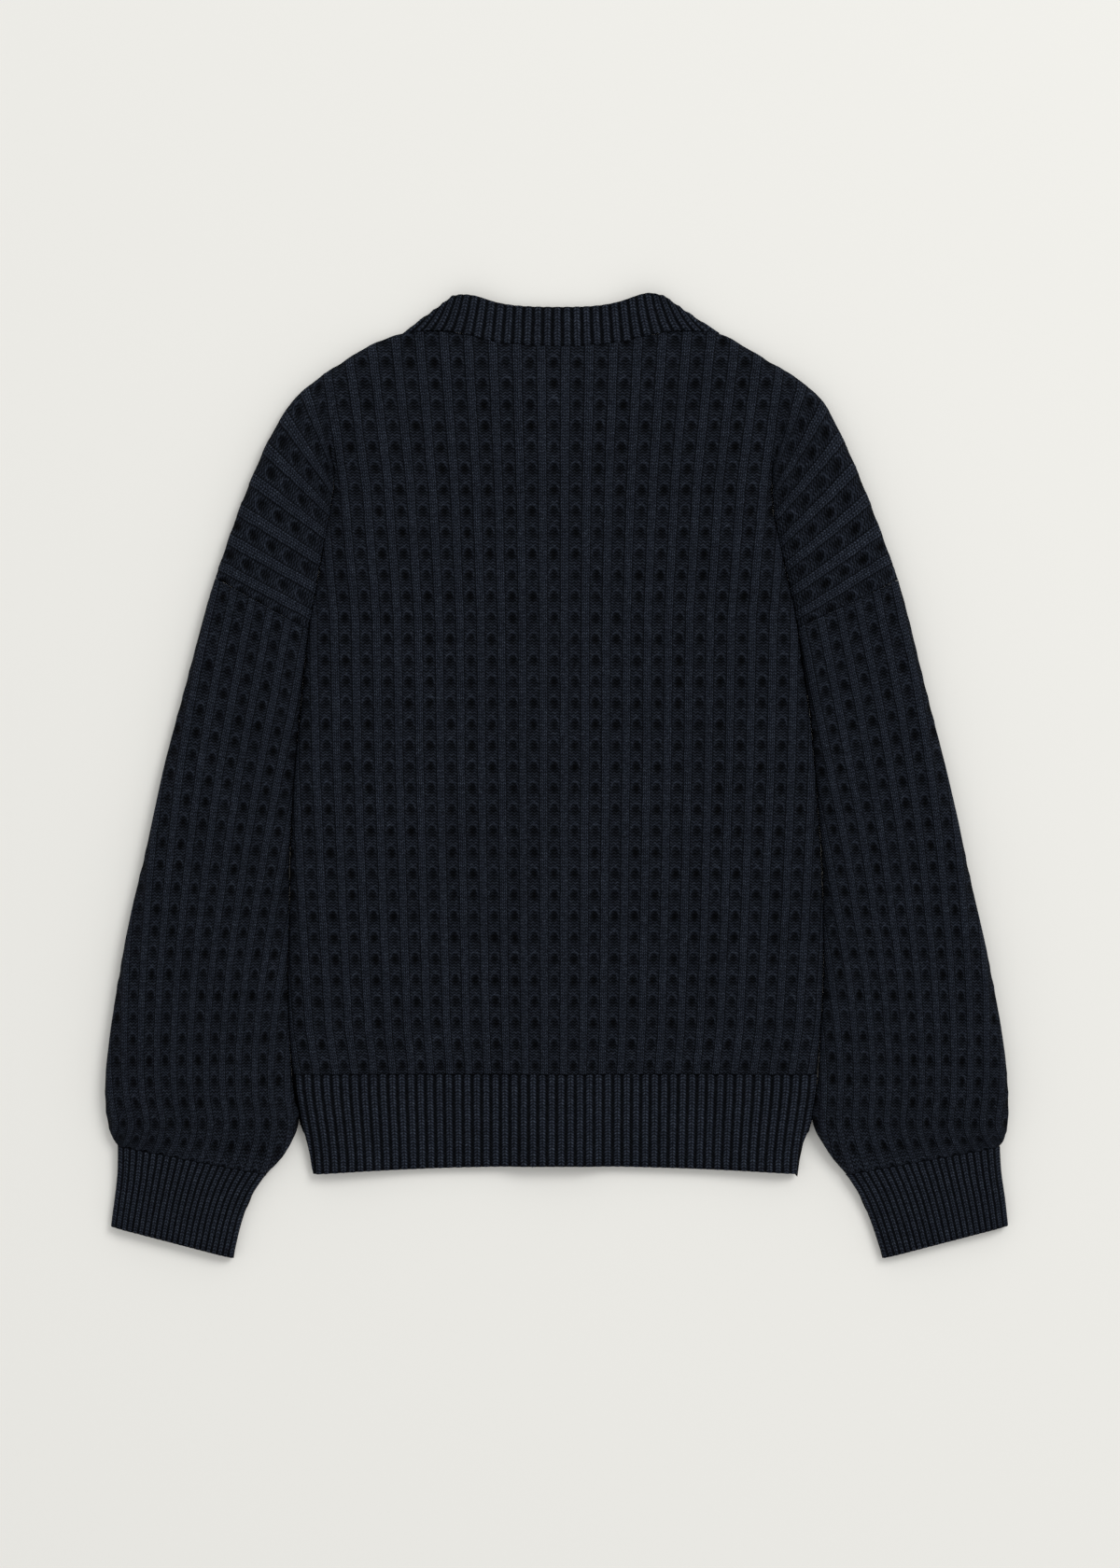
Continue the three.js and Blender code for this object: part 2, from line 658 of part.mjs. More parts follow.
// ---- front bands and buttons ----
const buttonY = (i) => mix(BUTTON_TOP_Y, BUTTON_LOW_Y, i / (BUTTON_COUNT - 1));

function bandShape() {
  const half = BAND_WIDTH / 2;
  const shape = new THREE.Shape();
  shape.moveTo(-half, HEM_MIDDLE_Y);
  shape.lineTo(half, HEM_MIDDLE_Y);
  shape.lineTo(half, BAND_TOP_Y);
  shape.lineTo(-half, BAND_TOP_Y);
  shape.closePath();
  return shape;
}

function slotPath(y) {
  const end = BUTTONHOLE_LONG / 2 - BUTTONHOLE_WIDE / 2;
  const path = new THREE.Path();
  path.absarc(end, y, BUTTONHOLE_WIDE / 2, -Math.PI / 2, Math.PI / 2, false);
  path.absarc(-end, y, BUTTONHOLE_WIDE / 2, Math.PI / 2, (3 * Math.PI) / 2, false);
  path.closePath();
  return path;
}

function makeBand(withHoles) {
  const shape = bandShape();
  if (withHoles) {
    for (let i = 0; i < BUTTON_COUNT; i += 1) shape.holes.push(slotPath(buttonY(i)));
  }
  return new THREE.ExtrudeGeometry(shape, { depth: BAND_THICK, bevelEnabled: false, curveSegments: 4 });
}

// a dished button turned about its axis, with four sewing holes cut through
function makeButton() {
  const r = BUTTON_RADIUS;
  const profile = [
    [0, BUTTON_DISH],
    [r - 2 * BUTTON_RIM, BUTTON_DISH],
    [r - BUTTON_RIM, 0],
    [r - BUTTON_RIM / 2, 0],
    [r, BUTTON_RIM / 2],
    [r, BUTTON_THICK - BUTTON_RIM / 2],
    [r - BUTTON_RIM / 2, BUTTON_THICK],
    [0, BUTTON_THICK],
  ].map(([x, y]) => new THREE.Vector2(x, y));
  const disc = weld(new THREE.LatheGeometry(profile, 24));
  disc.rotateX(Math.PI / 2);
  const turned = toManifold(disc);
  let cut = turned;
  for (const [sx, sy] of [[1, 1], [1, -1], [-1, 1], [-1, -1]]) {
    const drill = weld(new THREE.CylinderGeometry(BUTTON_HOLE_RADIUS, BUTTON_HOLE_RADIUS, 3 * BUTTON_THICK, 10));
    drill.rotateX(Math.PI / 2);
    drill.translate(sx * BUTTON_HOLE_OFFSET, sy * BUTTON_HOLE_OFFSET, BUTTON_THICK / 2);
    cut = cut.subtract(toManifold(drill));
  }
  return fromManifold(cut);
}

// joins a three.js geometry's split corners into one closed surface
function weld(geometry) {
  const from = geometry.attributes.position;
  const seen = new Map();
  const position = [];
  const ids = [];
  for (let i = 0; i < from.count; i += 1) {
    const point = [from.getX(i), from.getY(i), from.getZ(i)];
    const key = point.map((value) => Math.round(value * 1e4)).join();
    if (!seen.has(key)) seen.set(key, position.push(point) - 1);
    ids.push(seen.get(key));
  }
  const triangles = [];
  const order = geometry.index ? Array.from(geometry.index.array) : ids.map((_, i) => i);
  for (let i = 0; i < order.length; i += 3) {
    const [a, b, c] = [ids[order[i]], ids[order[i + 1]], ids[order[i + 2]]];
    if (a !== b && b !== c && c !== a) triangles.push(a, b, c);
  }
  return toGeometry(position.flat(), triangles);
}

// ---- the garment ----
const knit = () => new THREE.MeshStandardMaterial({ color: NAVY, roughness: 0.95, metalness: 0 });
const rib = () => new THREE.MeshStandardMaterial({ color: NAVY_RIB, roughness: 0.95, metalness: 0 });
const plastic = () => new THREE.MeshStandardMaterial({ color: BUTTON_NAVY, roughness: 0.35, metalness: 0 });

const cardigan = new THREE.Group();
function add(name, geometry, material, z = 0, y = 0) {
  const mesh = new THREE.Mesh(geometry, material);
  mesh.name = name;
  mesh.position.set(0, y, z);
  cardigan.add(mesh);
}

add('back', makeBack(), knit());
add('front_left', makeFront('left', BUTTON_BAND_Z), knit());
add('front_right', makeFront('right', HOLE_BAND_Z), knit());
add('sleeve_left', makeTube(sleeve.left, SLEEVE_ROWS), knit());
add('sleeve_right', makeTube(sleeve.right, SLEEVE_ROWS), knit());
add('cuff_left', makeTube(cuff.left, CUFF_ROWS), rib());
add('cuff_right', makeTube(cuff.right, CUFF_ROWS), rib());
add('hem_back', makeBackHem(), rib());
add('hem_front_left', makeFrontHem('left', BUTTON_BAND_Z), rib());
add('hem_front_right', makeFrontHem('right', HOLE_BAND_Z), rib());
add('neckband', makeNeckband(), rib());
add('button_band', makeBand(false), rib(), BUTTON_BAND_Z);
add('buttonhole_band', makeBand(true), rib(), HOLE_BAND_Z);
for (let i = 0; i < BUTTON_COUNT; i += 1) {
  add(`button_${i + 1}`, makeButton(), plastic(), 0, buttonY(i));
}

export default cardigan;
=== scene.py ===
import math
import bpy
import numpy as np
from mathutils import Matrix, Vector, kdtree


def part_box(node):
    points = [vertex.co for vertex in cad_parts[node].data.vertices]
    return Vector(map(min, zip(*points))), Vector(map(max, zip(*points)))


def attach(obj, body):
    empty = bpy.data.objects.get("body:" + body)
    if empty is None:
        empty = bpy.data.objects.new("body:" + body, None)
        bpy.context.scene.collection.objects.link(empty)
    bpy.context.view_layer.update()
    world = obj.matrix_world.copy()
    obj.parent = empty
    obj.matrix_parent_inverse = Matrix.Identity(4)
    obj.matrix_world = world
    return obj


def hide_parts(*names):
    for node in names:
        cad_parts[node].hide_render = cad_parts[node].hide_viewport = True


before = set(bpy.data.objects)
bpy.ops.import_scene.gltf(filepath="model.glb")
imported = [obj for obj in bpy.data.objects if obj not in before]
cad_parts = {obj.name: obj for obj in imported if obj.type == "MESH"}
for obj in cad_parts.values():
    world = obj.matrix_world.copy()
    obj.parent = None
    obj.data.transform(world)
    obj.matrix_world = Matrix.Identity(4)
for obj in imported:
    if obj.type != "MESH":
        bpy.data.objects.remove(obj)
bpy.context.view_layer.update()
mm = 0.001
print("frame loaded,", len(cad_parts), "pieces")


# ---- stage: camera straight above, pale table, big soft key from the top right ----
view = {"heightMm": 1071.2, "middleXMm": 1.6, "middleYMm": -5.4, "distanceM": 2.5, "sensorMm": 36}
studio = {"skyLevel": 0.7, "keyWatts": 170, "keySizeM": 2.8, "keyAtM": (2.9, 3.0, 4.9),
          "table": "#ecebe6", "tableHalfM": 6}


def linearColour(hexText):
    parts = [int(hexText[i:i + 2], 16) / 255 for i in (1, 3, 5)]
    return [p / 12.92 if p <= 0.04045 else ((p + 0.055) / 1.055) ** 2.4 for p in parts] + [1]


def addNode(tree, kind, settings=None, **inputs):
    # inputs are given by socket name with _ for a space, or as i0, i1... by number
    node = tree.nodes.new(kind)
    for key, value in (settings or {}).items():
        setattr(node, key, value)
    for key, value in inputs.items():
        isNumber = key[0] == "i" and key[1:].isdigit()
        socket = node.inputs[int(key[1:]) if isNumber else key.replace("_", " ")]
        if isinstance(value, bpy.types.NodeSocket):
            tree.links.new(value, socket)
        else:
            socket.default_value = value
    return node


def newMaterial(name):
    material = bpy.data.materials.new(name)
    material.use_nodes = True
    material.node_tree.nodes.clear()
    return material, material.node_tree


def makeStage():
    scene = bpy.context.scene
    scene.view_settings.view_transform = "Standard"
    camera = bpy.data.objects.new("camera", bpy.data.cameras.new("camera"))
    camera.data.sensor_width = view["sensorMm"]
    camera.data.lens = view["sensorMm"] * view["distanceM"] / (view["heightMm"] * mm)
    camera.location = (view["middleXMm"] * mm, view["middleYMm"] * mm, view["distanceM"])
    scene.collection.objects.link(camera)
    scene.camera = camera

    world = bpy.data.worlds.new("studio")
    world.use_nodes = True
    world.node_tree.nodes["Background"].inputs["Color"].default_value = (1, 1, 1, 1)
    world.node_tree.nodes["Background"].inputs["Strength"].default_value = studio["skyLevel"]
    scene.world = world

    lamp = bpy.data.lights.new("key", "AREA")
    lamp.energy = studio["keyWatts"]
    lamp.size = studio["keySizeM"]
    key = bpy.data.objects.new("key", lamp)
    key.location = studio["keyAtM"]
    key.rotation_euler = (-Vector(studio["keyAtM"])).to_track_quat("-Z", "Y").to_euler()
    scene.collection.objects.link(key)

    # matt wall paint on a board, hardly any shine
    material, tree = newMaterial("paintedTable")
    shader = addNode(tree, "ShaderNodeBsdfPrincipled", Base_Color=linearColour(studio["table"]),
                     Roughness=0.9, Specular_IOR_Level=0.1)
    addNode(tree, "ShaderNodeOutputMaterial", Surface=shader.outputs[0])
    mesh = bpy.data.meshes.new("table")
    half = studio["tableHalfM"]
    corners = [(-half, -half, 0), (half, -half, 0), (half, half, 0), (-half, half, 0)]
    mesh.from_pydata(corners, [], [(0, 1, 2, 3)])
    mesh.materials.append(material)
    table = bpy.data.objects.new("table", mesh)
    scene.collection.objects.link(table)


makeStage()
print("stage ready")


# ---- plan of the laid garment, in millimetres ----
signOf = {"left": -1, "right": 1}
seamGap = 0.3
slotShift = 0.45  # how far each side of the slot beside the body bulges past the solids
pivotY = 214
shoulderRise = 58.6
pivotX = {"left": -153, "right": 146.5}
shoulderX = {"left": -161, "right": 161}
hemSeamY = -203
bodyRound = 13
underRound = 9
edgeShare = 0.45
bandHalf = 14
bandStart = bandHalf + seamGap
bandLiftFrom = 15.5
bandBlend = 40
bandFade = {"full": 255, "none": 290}
bandZ = {"left": 5.7, "right": 2.8}
bandThick = 2.6
bandTopY = 241
overBands = {"under": 8.6, "high": 12.8}

bodyCut = {
    "y": [214, 200, 180, 150, 120, 95, 50, 3, -45, -100, -150, -203, -230, -254, -271],
    "left": [-153, -151.9, -154.3, -160.1, -165.2, -169.8, -174, -178.4, -181.4, -182.2, -182.9, -180.4,
             -176.2, -169.3, -166.7],
    "right": [146.5, 145.5, 146.4, 152.6, 159.3, 163.5, 170, 174.6, 178.4, 180.1, 179.6, 176.3, 173.5,
              166.1, 163.5],
}
bodyThickness = {
    "y": [304, 270, 214, 60, -120, -203, -271],
    "middle": [7.8, 9, 10, 9.6, 9.6, 9, 8],
    "side": [11, 13.5, 16, 16.5, 16.5, 14, 11],
    "under": [4, 4.6, 4.7, 4.4, 4.4, 4.2, 3.8],
    "sideFrom": 0.45, "sideTo": 0.95,
}
shoulderCut = {
    "x": [-161, -147.6, -127, -106, -80, -58, -40, 0, 40, 60, 83, 110, 125, 146, 161],
    "y": [272.6, 281.5, 294, 301.5, 303, 299.4, 295, 292.5, 295, 299.4, 303, 301.5, 294, 281.5, 272.6],
    "neckEnd": {"left": -106, "right": 110},
}
neckbandCut = {
    "x": [-72.4, -66, -56, -41, -23, 0, 23, 41, 56, 63, 73],
    "y": [326.8, 327.7, 326.8, 322.6, 320.4, 319.8, 320.4, 323, 327.6, 328.7, 327],
    "frontSeamY": 214,
}
# each arm piece: points along its fold and along its hollow side
lobeCut = {
    "left": {"fold": [(-161, 272.6), (-180.1, 256), (-196, 230.5), (-207.5, 205), (-217.7, 179.5),
                      (-226, 156), (-233, 134.9)],
             "hollow": [(-153, 214), (-153.1, 200), (-155, 183), (-158.2, 165), (-162.5, 143.5),
                        (-166.2, 121), (-170.2, 99.8)]},
    "right": {"fold": [(161, 272.6), (180, 256), (194, 230.5), (205.2, 205), (215.3, 179.5), (224.3, 155),
                       (231.8, 133.6)],
              "hollow": [(146.5, 214), (146.7, 199), (147.5, 181), (151.5, 160), (156, 140), (160.5, 120),
                         (164, 101)]},
}
sleeveCut = {
    "left": {"fold": [(-233, 134.9), (-240, 112), (-252.8, 64.7), (-266.2, 13.7), (-277.5, -37.3),
                      (-289.3, -88.3), (-299.4, -139.3), (-306.2, -188), (-308.3, -215), (-306.8, -236),
                      (-303, -246.5), (-300.2, -251.5)],
             "hollow": [(-170.2, 99.8), (-172.6, 78), (-176.1, 40), (-180, -3), (-182.7, -46),
                        (-183.4, -92), (-184, -140), (-183, -185), (-180.2, -214), (-176.4, -236),
                        (-186, -257), (-198.2, -271.1)]},
    "right": {"fold": [(231.8, 133.6), (238, 112), (249.6, 64.7), (262.4, 13.7), (274.2, -37.3),
                       (285.2, -88.3), (296.4, -139.3), (304.3, -188), (306.9, -215), (306.8, -237),
                       (304.2, -247), (301.8, -252)],
              "hollow": [(164, 101), (166.8, 78), (172, 44), (176, 1), (179.6, -42), (181.3, -90),
                         (181.3, -138), (179.1, -184), (176.7, -213), (173.9, -236), (184.5, -256),
                         (196.1, -271.1)]},
}
cuffCut = {
    "left": {"fold": [(-300.2, -251.5), (-300.6, -270), (-302.6, -288), (-305.1, -306.7)],
             "hollow": [(-198.2, -271.1), (-208, -286), (-215, -304), (-220.9, -328.7)]},
    "right": {"fold": [(301.8, -252), (303, -270), (305.6, -288), (307.6, -306.2)],
              "hollow": [(196.1, -271.1), (206, -287), (213.6, -305), (221.4, -328.7)]},
}
armThickness = {"down": [300, 233, 130, 0, -150, -225, -261, -290, -325],
                "high": [12.5, 16, 16.5, 17, 18, 17.5, 12.5, 9.6, 9.2],
                "slant": 0.2, "middleX": 250}

# soft creases pressed into the upper layer: middle, direction in degrees, sizes in mm
creases = [
    {"x": -141, "y": 236, "turn": 61, "long": 36, "wide": 8, "deep": 2.6},
    {"x": 156, "y": 222, "turn": 122, "long": 26, "wide": 7, "deep": 2.8},
    {"x": 146, "y": 244, "turn": 94, "long": 30, "wide": 8, "deep": 1.6},
    {"x": -158, "y": 168, "turn": 82, "long": 58, "wide": 13, "deep": 4.5},
    {"x": 151, "y": 172, "turn": 97, "long": 50, "wide": 10, "deep": 3.2},
    {"x": -205, "y": 40, "turn": 80, "long": 70, "wide": 9, "deep": 1.0},
    {"x": 212, "y": -30, "turn": 100, "long": 85, "wide": 9, "deep": 1.1},
    {"x": -255, "y": -228, "turn": 72, "long": 20, "wide": 6, "deep": 1.6},
    {"x": -222, "y": -246, "turn": 60, "long": 18, "wide": 6, "deep": 1.4},
    {"x": 262, "y": -226, "turn": 108, "long": 20, "wide": 6, "deep": 1.5},
    {"x": 226, "y": -246, "turn": 122, "long": 18, "wide": 6, "deep": 1.4},
    {"x": -120, "y": -176, "turn": 84, "long": 40, "wide": 10, "deep": 0.8},
    {"x": 96, "y": -150, "turn": 92, "long": 60, "wide": 11, "deep": 0.8},
]
# slow waves over the whole garment: height, then mm to a radian along x and y
slowWave = {"high": 0.45, "alongX": 31, "alongY": 43, "startX": 1.3, "startY": 0.4}
quickWave = {"high": 0.3, "alongX": 17, "alongY": 29}


def smoothLine(points, steps=16):
    # Catmull-Rom through the points, the same number of steps for each stretch
    pts = np.array(points, float)
    ends = np.vstack([2 * pts[0] - pts[1], pts, 2 * pts[-1] - pts[-2]])
    t = np.linspace(0, 1, steps, endpoint=False)[:, None]
    parts = []
    for i in range(len(pts) - 1):
        a, b, c, d = ends[i:i + 4]
        parts.append(0.5 * (2 * b + (c - a) * t + (2 * a - 5 * b + 4 * c - d) * t ** 2
                            + (3 * b - a - 3 * c + d) * t ** 3))
    return np.vstack(parts + [pts[-1:]])


def readLine(line, at, fromAxis, toAxis):
    order = np.argsort(line[:, fromAxis])
    return np.interp(at, line[order, fromAxis], line[order, toAxis])


def readTable(table, key, column, at):
    order = np.argsort(table[key])
    return np.interp(at, np.array(table[key], float)[order], np.array(table[column], float)[order])


def ease(t):
    t = np.clip(t, 0, 1)
    return t * t * (3 - 2 * t)


def easeBetween(low, high, value):
    return ease((value - low) / (high - low))


def mix(a, b, t):
    return a + (b - a) * t


def besideSlot(line, shift):
    # cloth from both sides meets in the slot under the pivot; it parts again beside the hem
    near = ease((pivotY - line[:, 1]) / 12) * ease((line[:, 1] + 246) / 12)
    return line + np.stack([shift * near, 0 * near], 1)


shoulderLine = smoothLine(list(zip(shoulderCut["x"], shoulderCut["y"])))
neckTopLine = smoothLine(list(zip(neckbandCut["x"], neckbandCut["y"])))
bodyLine = {side: besideSlot(smoothLine(list(zip(bodyCut[side], bodyCut["y"]))), sign * slotShift)
            for side, sign in signOf.items()}


def hollowLine(cut, side):
    return besideSlot(smoothLine(cut[side]["hollow"]), -signOf[side] * slotShift)


def makeEdgeTree(stepMm=0.35):
    # every rolled edge as close points, to find how far in a place lies
    lines = []
    for side, sign in signOf.items():
        neckEnd = shoulderCut["neckEnd"][side]
        lines.append(shoulderLine[sign * (shoulderLine[:, 0] - neckEnd) >= 0])
        top = neckTopLine[0] if side == "left" else neckTopLine[-1]
        lines.append(np.array([top, (neckEnd, readLine(shoulderLine, neckEnd, 0, 1))]))
        lines.append(bodyLine[side])
        for cut in (lobeCut, sleeveCut, cuffCut):
            lines += [smoothLine(cut[side]["fold"]), hollowLine(cut, side)]
    points = []
    for line in lines:
        for a, b in zip(line[:-1], line[1:]):
            count = max(1, int(np.hypot(*(b - a)) / stepMm))
            points += [a + (b - a) * k / count for k in range(count)]
        points.append(line[-1])
    tree = kdtree.KDTree(len(points))
    for i, p in enumerate(points):
        tree.insert((p[0], p[1], 0), i)
    tree.balance()
    return tree


edgeTree = makeEdgeTree()
onEdge = 0.19  # nearer than this is on the edge itself


def edgeDistance(x, y):
    flat = [edgeTree.find((px, py, 0))[2] for px, py in zip(x.ravel(), y.ravel())]
    distance = np.array(flat).reshape(x.shape)
    return np.where(distance < onEdge, 0, distance)


def roundIn(distance, reach):
    return np.sqrt(1 - (1 - np.clip(distance / reach, 0, 1)) ** 2)


def halfWidth(x, y):
    rise = np.clip((y - pivotY) / shoulderRise, 0, 1)
    half = {}
    for side in signOf:
        below = np.abs(readLine(bodyLine[side], np.minimum(y, pivotY), 1, 0))
        half[side] = np.where(y > pivotY, mix(abs(pivotX[side]), abs(shoulderX[side]), rise), below)
    return np.where(x < 0, half["left"], half["right"])


def bandLift(x, y):
    fade = easeBetween(bandFade["full"], bandFade["none"], y)
    return (1 - easeBetween(bandLiftFrom, bandBlend, np.abs(x))) * (1 - fade)


def bodyLayers(x, y):
    toSide = easeBetween(bodyThickness["sideFrom"], bodyThickness["sideTo"], np.abs(x) / halfWidth(x, y))
    side = readTable(bodyThickness, "y", "side", y)
    high = mix(readTable(bodyThickness, "y", "middle", y), side, toSide)
    between = mix(readTable(bodyThickness, "y", "under", y), edgeShare * side, toSide)
    return high, between


def armLayers(x, y):
    down = y - armThickness["slant"] * (np.abs(x) - armThickness["middleX"])
    high = readTable(armThickness, "down", "high", down)
    return high, edgeShare * high


def lieOfCloth(x, y):
    # the soft unevenness of wool smoothed out by hand, and the creases
    slow = np.sin(x / slowWave["alongX"] + slowWave["startX"]) * np.sin(y / slowWave["alongY"]
                                                                        + slowWave["startY"])
    quick = np.sin(x / quickWave["alongX"] + y / quickWave["alongY"])
    height = slowWave["high"] * slow + quickWave["high"] * quick
    for crease in creases:
        turn = math.radians(crease["turn"])
        along = (x - crease["x"]) * math.cos(turn) + (y - crease["y"]) * math.sin(turn)
        across = (y - crease["y"]) * math.cos(turn) - (x - crease["x"]) * math.sin(turn)
        height = height - crease["deep"] * np.exp(-(across / crease["wide"]) ** 2
                                                  - (along / crease["long"]) ** 4)
    return height


def upperZ(x, y, layers, lift, distance):
    high, between = layers
    low = mix(between, overBands["under"], lift) + 0.15
    full = mix(high, overBands["high"], lift) + lieOfCloth(x, y)
    return mix(low, full, roundIn(distance, bodyRound))


def lowerZ(layers, lift, distance, band):
    top = mix(layers[1] - 0.15, band + bandThick, lift)
    return mix(top, band * lift, roundIn(distance, underRound))


# ---- knit relief: u counts ribs, v counts tuck cells up the cloth ----
knit = {
    "cellMm": 14.5, "shift": 0.15,
    "pitchY": [-203, -171, -95, 7, 109, 199, 283, 310],
    "pitchMm": [12.9, 13.3, 13.65, 14.03, 14.2, 15.0, 16.3, 16.7],
    "ridgeHigh": 1.35, "ridgeHalf": 0.19,
    "pitDeep": 1.5, "pitHalf": 0.17, "pitLong": 0.25, "pitLow": 0.06,
    "archHigh": 0.5, "archHalf": 0.22, "archAt": 0.38, "archLong": 0.12,
}
ribKnit = {"ridgeHigh": 1.15, "ridgeFrom": 0.12, "ridgeTo": 0.42}
thick = {"main": 3.2, "rib": 2.6, "under": 2.2}


def bodyU(x, y):
    return x / np.interp(y, knit["pitchY"], knit["pitchMm"]) + knit["shift"]


def cellRelief(u, v, slack=0.0):
    # slack 1 is the looser cloth of the sleeves: lower ribs, longer and deeper cells
    fromRidge = np.abs(u - np.floor(u) - 0.5)
    fromPit = u + 0.5 - np.floor(u + 0.5) - 0.5
    # no two tuck cells are quite alike
    uneven = 0.75 + 0.25 * np.sin(12.9898 * np.round(u) + 78.233 * np.floor(v))
    w = v - np.floor(v) - 0.5
    ridge = 1 - easeBetween(knit["ridgeHalf"] - 0.05, knit["ridgeHalf"] + 0.07, fromRidge)
    pitLong = knit["pitLong"] + 0.06 * slack
    pit = np.exp(-(fromPit / knit["pitHalf"]) ** 2 - (np.abs(w + knit["pitLow"]) / pitLong) ** 3) * uneven
    arch = np.exp(-(fromPit / knit["archHalf"]) ** 2 - ((w - knit["archAt"]) / knit["archLong"]) ** 2)
    high = knit["ridgeHigh"] * (1 - 0.35 * slack)
    deep = knit["pitDeep"] * (1 + 0.25 * slack)
    return high * ridge - deep * pit + knit["archHigh"] * arch, pit


def calmAtEdge(relief, distance):
    # knit pulled round a rolled edge lies flatter, and stays off its neighbour
    return np.minimum(relief * (0.25 + 0.75 * np.clip(distance / 7, 0, 1)), 0.2 + distance * 0.35)


def ribRelief(u):
    fromRidge = np.abs(u - np.floor(u) - 0.5)
    ridge = 1 - easeBetween(ribKnit["ridgeFrom"], ribKnit["ridgeTo"], fromRidge)
    return ribKnit["ridgeHigh"] * (ridge - 0.5), 1 - ridge


def rollOffsets(reach, count=9):
    # steps in from a rolled edge, finest at the edge
    return np.array([reach * (1 - math.cos(a)) for a in np.linspace(0, math.pi / 2, count)])


def rollSteps(length, step, reach):
    # fine steps round each rolled end, even steps between them
    roll = rollOffsets(reach)
    middle = np.linspace(reach, length - reach, max(2, int((length - 2 * reach) / step)) + 1)[1:-1]
    return np.concatenate([roll, middle, length - roll[::-1]])


# ---- shells: each piece is a closed wall with its relief on the outside ----
def patch(x, y, z, u, v, relief, hollow, up, rim=None, keep=None):
    # up is 1 for a side that faces up and -1 for one that faces down; keep leaves cells out
    rim = np.zeros(x.shape, bool) if rim is None else rim
    return {"x": x, "y": y, "z": z, "u": u, "v": v, "relief": relief, "hollow": hollow, "up": up,
            "rim": rim, "keep": keep}


def quadsOf(part, start):
    rows, cols = part["x"].shape
    ids = np.arange(rows * cols).reshape(rows, cols) + start
    quads = np.stack([ids[:-1, :-1], ids[:-1, 1:], ids[1:, 1:], ids[1:, :-1]], -1).reshape(-1, 4)
    dx, dy = part["x"][:-1, 1:] - part["x"][:-1, :-1], part["y"][:-1, 1:] - part["y"][:-1, :-1]
    ex, ey = part["x"][1:, :-1] - part["x"][:-1, :-1], part["y"][1:, :-1] - part["y"][:-1, :-1]
    area = np.sum(dx * ey - dy * ex)
    if part["keep"] is not None:
        quads = quads[part["keep"].ravel()]
    return quads if area * part["up"] > 0 else quads[:, ::-1]


def weldParts(parts):
    # one list of points for all the parts, with points at the same place joined
    column = {key: np.concatenate([p[key].ravel() for p in parts]).astype(float)
              for key in ("x", "y", "z", "u", "v", "relief", "hollow", "rim")}
    starts = np.cumsum([0] + [p["x"].size for p in parts])
    quads = np.vstack([quadsOf(p, s) for p, s in zip(parts, starts)])
    place = np.stack([column["x"], column["y"], column["z"]], 1)
    _, first, inverse = np.unique(np.round(place, 2), axis=0, return_index=True, return_inverse=True)
    return {key: values[first] for key, values in column.items()}, place[first], inverse.ravel()[quads]


def outwardNormals(place, quads, isRim):
    faceNormal = np.cross(place[quads[:, 2]] - place[quads[:, 0]], place[quads[:, 3]] - place[quads[:, 1]])
    normal = np.zeros_like(place)
    for corner in range(4):
        np.add.at(normal, quads[:, corner], faceNormal)
    normal[isRim, 2] = 0
    return normal / np.maximum(np.linalg.norm(normal, axis=1), 1e-9)[:, None]


def openEdges(quads, count):
    edges = np.vstack([quads[:, [i, (i + 1) % 4]] for i in range(4)])
    keys = np.minimum(edges[:, 0], edges[:, 1]) * count + np.maximum(edges[:, 0], edges[:, 1])
    _, where, seen = np.unique(keys, return_index=True, return_counts=True)
    rim = edges[where[seen == 1]]
    return rim[rim[:, 0] != rim[:, 1]]


def buildShell(name, parts, wallMm):
    column, place, quads = weldParts(parts)
    normal = outwardNormals(place, quads, column["rim"] > 0.5)
    outer = place + normal * column["relief"][:, None]
    inner = place - normal * wallMm
    outer[:, 2] = np.maximum(outer[:, 2], 0)
    inner[:, 2] = np.maximum(inner[:, 2], 0.2)

    count = len(place)
    rim = openEdges(quads, count)
    rimQuads = np.stack([rim[:, 1], rim[:, 0], rim[:, 0] + count, rim[:, 1] + count], 1)
    faces = np.vstack([quads, quads[:, ::-1] + count, rimQuads])
    used = np.unique(faces)
    renumber = np.full(2 * count, -1)
    renumber[used] = np.arange(len(used))

    mesh = bpy.data.meshes.new(name)
    points = np.vstack([outer, inner])[used] * mm
    faceLists = [tuple(dict.fromkeys(face)) for face in renumber[faces].tolist()]
    mesh.from_pydata(points.tolist(), [], [face for face in faceLists if len(face) > 2])
    corners = np.empty(len(mesh.loops), int)
    mesh.loops.foreach_get("vertex_index", corners)
    uv = np.stack([np.tile(column["u"], 2), np.tile(column["v"], 2)], 1)[used]
    mesh.uv_layers.new(name="knit").data.foreach_set("uv", uv[corners].ravel())
    # how low each point lies in the knit; the wool paints shade into its colour from it
    hollow = mesh.attributes.new("hollow", "FLOAT", "POINT")
    hollow.data.foreach_set("value", np.tile(column["hollow"], 2)[used])
    mesh.polygons.foreach_set("use_smooth", [True] * len(mesh.polygons))
    mesh.update()
    piece = bpy.data.objects.new(name, mesh)
    bpy.context.scene.collection.objects.link(piece)
    return piece


def finishCloth(piece, node, material):
    piece.data.materials.append(material)
    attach(piece, "root")
    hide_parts(node)
    print(piece.name, len(piece.data.polygons), "faces")


# ---- wool ----
wool = {
    "navy": "#1a1e26", "light": "#282d36", "dark": "#11141a",
    # the stitch, pit, side-line and arch values below paint light and shade into the wool's colour
    "stitchPaintedLight": 3.1, "darkest": 0.06, "pitPaintedShade": -0.82, "sideLinePaintedShade": -0.6, "archPaintedHighlight": 0.75,
    "stitchesPerCell": 7,  # drawn coarser than real stitches, so that they show
    "wander": (0.07, 0.1, 0.0),
}


